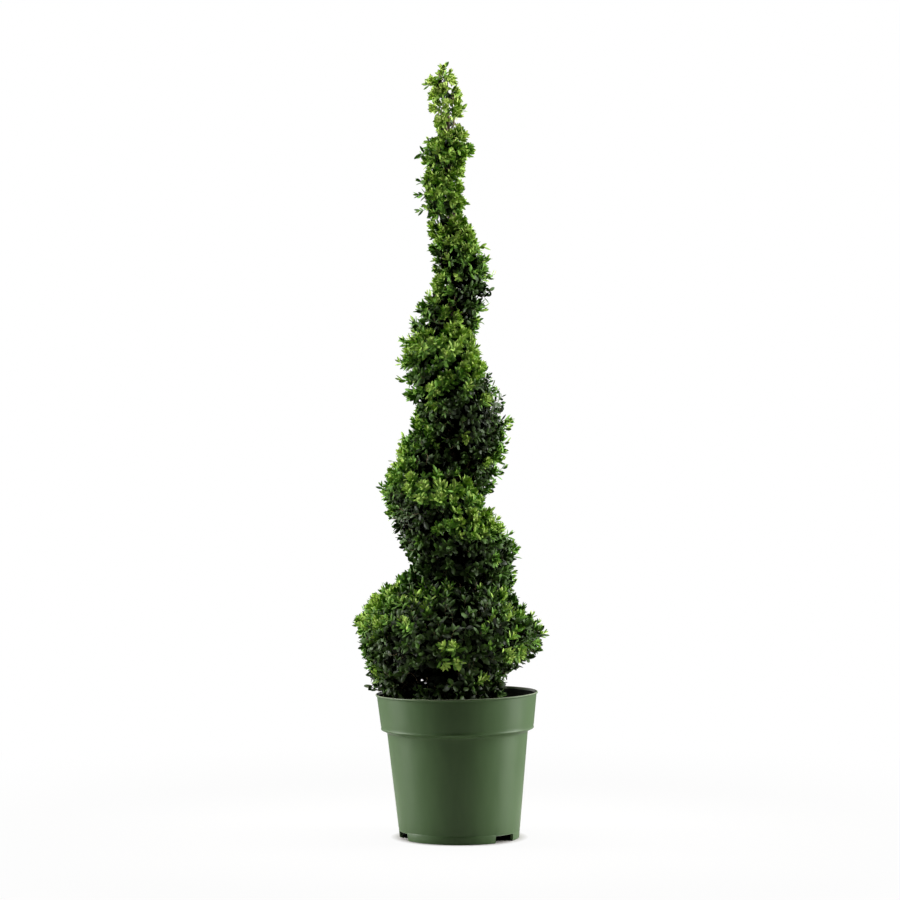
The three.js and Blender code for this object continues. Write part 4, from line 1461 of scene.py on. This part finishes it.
# %% Soil materials and surface
SOIL_COLUMNS = 150
SOIL_ROWS = 46
SOIL_BOX = np.array(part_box("potting_soil"))
SOIL_MIDDLE = (SOIL_BOX[0, :2] + SOIL_BOX[1, :2]) / 2
SOIL_RADIUS = (SOIL_BOX[1, 1] - SOIL_BOX[0, 1]) / 2
SOIL_SUNK = 0.0035  # the middle of the crumbs is this far under the packed soil's top
SOIL_RELIEF = 0.0042
CRUMBS_A_METRE = 46
SOIL_LAYERS = ((1, 1), (2.7, 0.5), (7.1, 0.3))  # how much finer each is than the first, and its share
SOIL_FIRST_ROW = 0.0006  # share of the surface that lies inside the first row
SOIL_FLOOR_Z = CHANNEL_HEIGHT + 0.004
SOIL_PLAY = 0.0008  # between the soil and the wall
POT_INNER_WALL = [  # radius and height where the wall turns
    (COLLAR_FOOT_RADIUS, COLLAR_FOOT_Z + 0.004),
    (BODY_TOP_RADIUS, BODY_TOP_Z),
    (BASE_RADIUS, SOIL_FLOOR_Z),
]


def soil_height(point):
    place = Vector((point[0] * CRUMBS_A_METRE, point[1] * CRUMBS_A_METRE, 0.3))
    rough = sum(share * noise.noise(place * finer) for finer, share in SOIL_LAYERS)
    return SOIL_TOP - SOIL_SUNK + SOIL_RELIEF * rough


def on_soil(radius, angle):
    """Points on the soil's surface, from their distance and direction from its middle."""
    points = polar(radius, angle, 0.0) + [*SOIL_MIDDLE, 0]
    points[..., 2] = np.apply_along_axis(soil_height, -1, points)
    return points


def soil_surface():
    """The soil's body: its surface, and sides down to the floor of the pot."""
    radius = SOIL_RADIUS * np.sqrt(np.linspace(SOIL_FIRST_ROW, 1, SOIL_ROWS))
    angle = np.arange(SOIL_COLUMNS) * FULL_TURN / SOIL_COLUMNS
    top = on_soil(radius[:, None], angle).reshape(-1, 3)
    sides = []
    for wall, height in POT_INNER_WALL:
        sides.append(leaned(polar(wall - (POT_WALL + SOIL_PLAY), angle, height)))
    corners = np.concatenate([top, *sides, [[*SOIL_MIDDLE, SOIL_TOP - 0.003], [0, 0, SOIL_FLOOR_Z]]])
    quads, ends = skin(np.arange(len(corners) - 2).reshape(-1, SOIL_COLUMNS))
    return corners, turned_over(quads), turned_over(ends)


CRUMBLY = ((900, 900, 900), 0.9, 0.0012)
DAMP = ((160, 160, 160), 0.8, 8.0)
SOIL_PEAT = layered("soil_peat", srgb(30, 24, 20), [(DAMP, srgb(58, 46, 36))], CRUMBLY, 0.95)
BARK_CHIP = layered("soil_bark_chip", srgb(84, 62, 44), [(DAMP, srgb(120, 92, 66))], CRUMBLY, 0.85)
body = soil_surface()
print("soil body:", len(body[0]), "corners")

# %% [markdown]
# ## Crumbs and chips
#
# The loose bits are all one twenty-sided ball, turned and stretched: little and roundish for a
# crumb of peat, long and flat for a chip of bark. Crumbs are roughened corner by corner.

# %% Loose crumbs and chips
CRUMBS = 800
CRUMB_SIZE = (1.1, 3.6)  # millimetres
CRUMB_STRETCH = (0.7, 1.2)
CHIPS = 160
CHIP_SIZES = ((3, 8), (1.2, 3), (0.5, 1))  # least and most along, across and up, in millimetres
SOIL_EDGE = 0.006  # the wall is kept clear of them
CRUMB_ROUGHNESS = 0.00022
CHIP_LIFT = 0.001


def scattered(count, rng):
    """Even places on the soil."""
    radius = (SOIL_RADIUS - SOIL_EDGE) * np.sqrt(rng.random(count))
    return on_soil(radius, rng.uniform(0, FULL_TURN, count))


def twenty_sided():
    """A twenty-sided ball of radius 1, as corners and faces."""
    ball = bpy.data.meshes.new("ball")
    shape = bmesh.new()
    bmesh.ops.create_icosphere(shape, subdivisions=1, radius=1)
    shape.to_mesh(ball)
    shape.free()
    corners = np.array([v.co[:] for v in ball.vertices])
    faces = np.array([p.vertices[:] for p in ball.polygons])
    bpy.data.meshes.remove(ball)
    return corners, faces


def balls(places, sizes, rng):
    """Small balls, each stretched and turned, as corners and faces."""
    turns = rng.uniform(0, FULL_TURN, len(places))
    cos, sin = np.cos(turns)[:, None], np.sin(turns)[:, None]
    shape, faces = twenty_sided()
    x, y, z = np.moveaxis(shape * sizes[:, None], -1, 0)
    corners = np.stack([x * cos - y * sin, x * sin + y * cos, z], -1) + places[:, None]
    return corners.reshape(-1, 3), for_each(faces, len(places), len(shape))


rng = np.random.default_rng(SEED + 100)
sizes = rng.uniform(*CRUMB_SIZE, (CRUMBS, 1)) * MM * rng.uniform(*CRUMB_STRETCH, (CRUMBS, 3))
crumbs, crumb_faces = balls(scattered(CRUMBS, rng), sizes, rng)
crumbs = crumbs + rng.normal(0, CRUMB_ROUGHNESS, crumbs.shape)
sizes = [rng.uniform(*limits, CHIPS) for limits in CHIP_SIZES]
chips, chip_faces = balls(scattered(CHIPS, rng) + [0, 0, CHIP_LIFT], np.stack(sizes, -1) * MM, rng)
corners, quads, triangles = join([body, (crumbs, NO_QUADS, crumb_faces), (chips, NO_QUADS, chip_faces)])
tints = np.zeros(len(quads) + len(triangles))
tints[-len(chip_faces):] = 1
mesh_piece("soil", corners, [quads, triangles], [SOIL_PEAT, BARK_CHIP], "potting_soil", tints)

# %% [markdown]
# ## Triangles that show
#
# The triangles of every mesh that shows are counted and printed. The dressed plant may not
# outgrow the imported one.

# %% Count the triangles that show
triangles = 0
for piece in bpy.context.scene.objects:
    if piece.type == "MESH" and not piece.hide_render:
        triangles += sum(len(p.vertices) - 2 for p in piece.data.polygons)
print("triangles that show:", triangles)
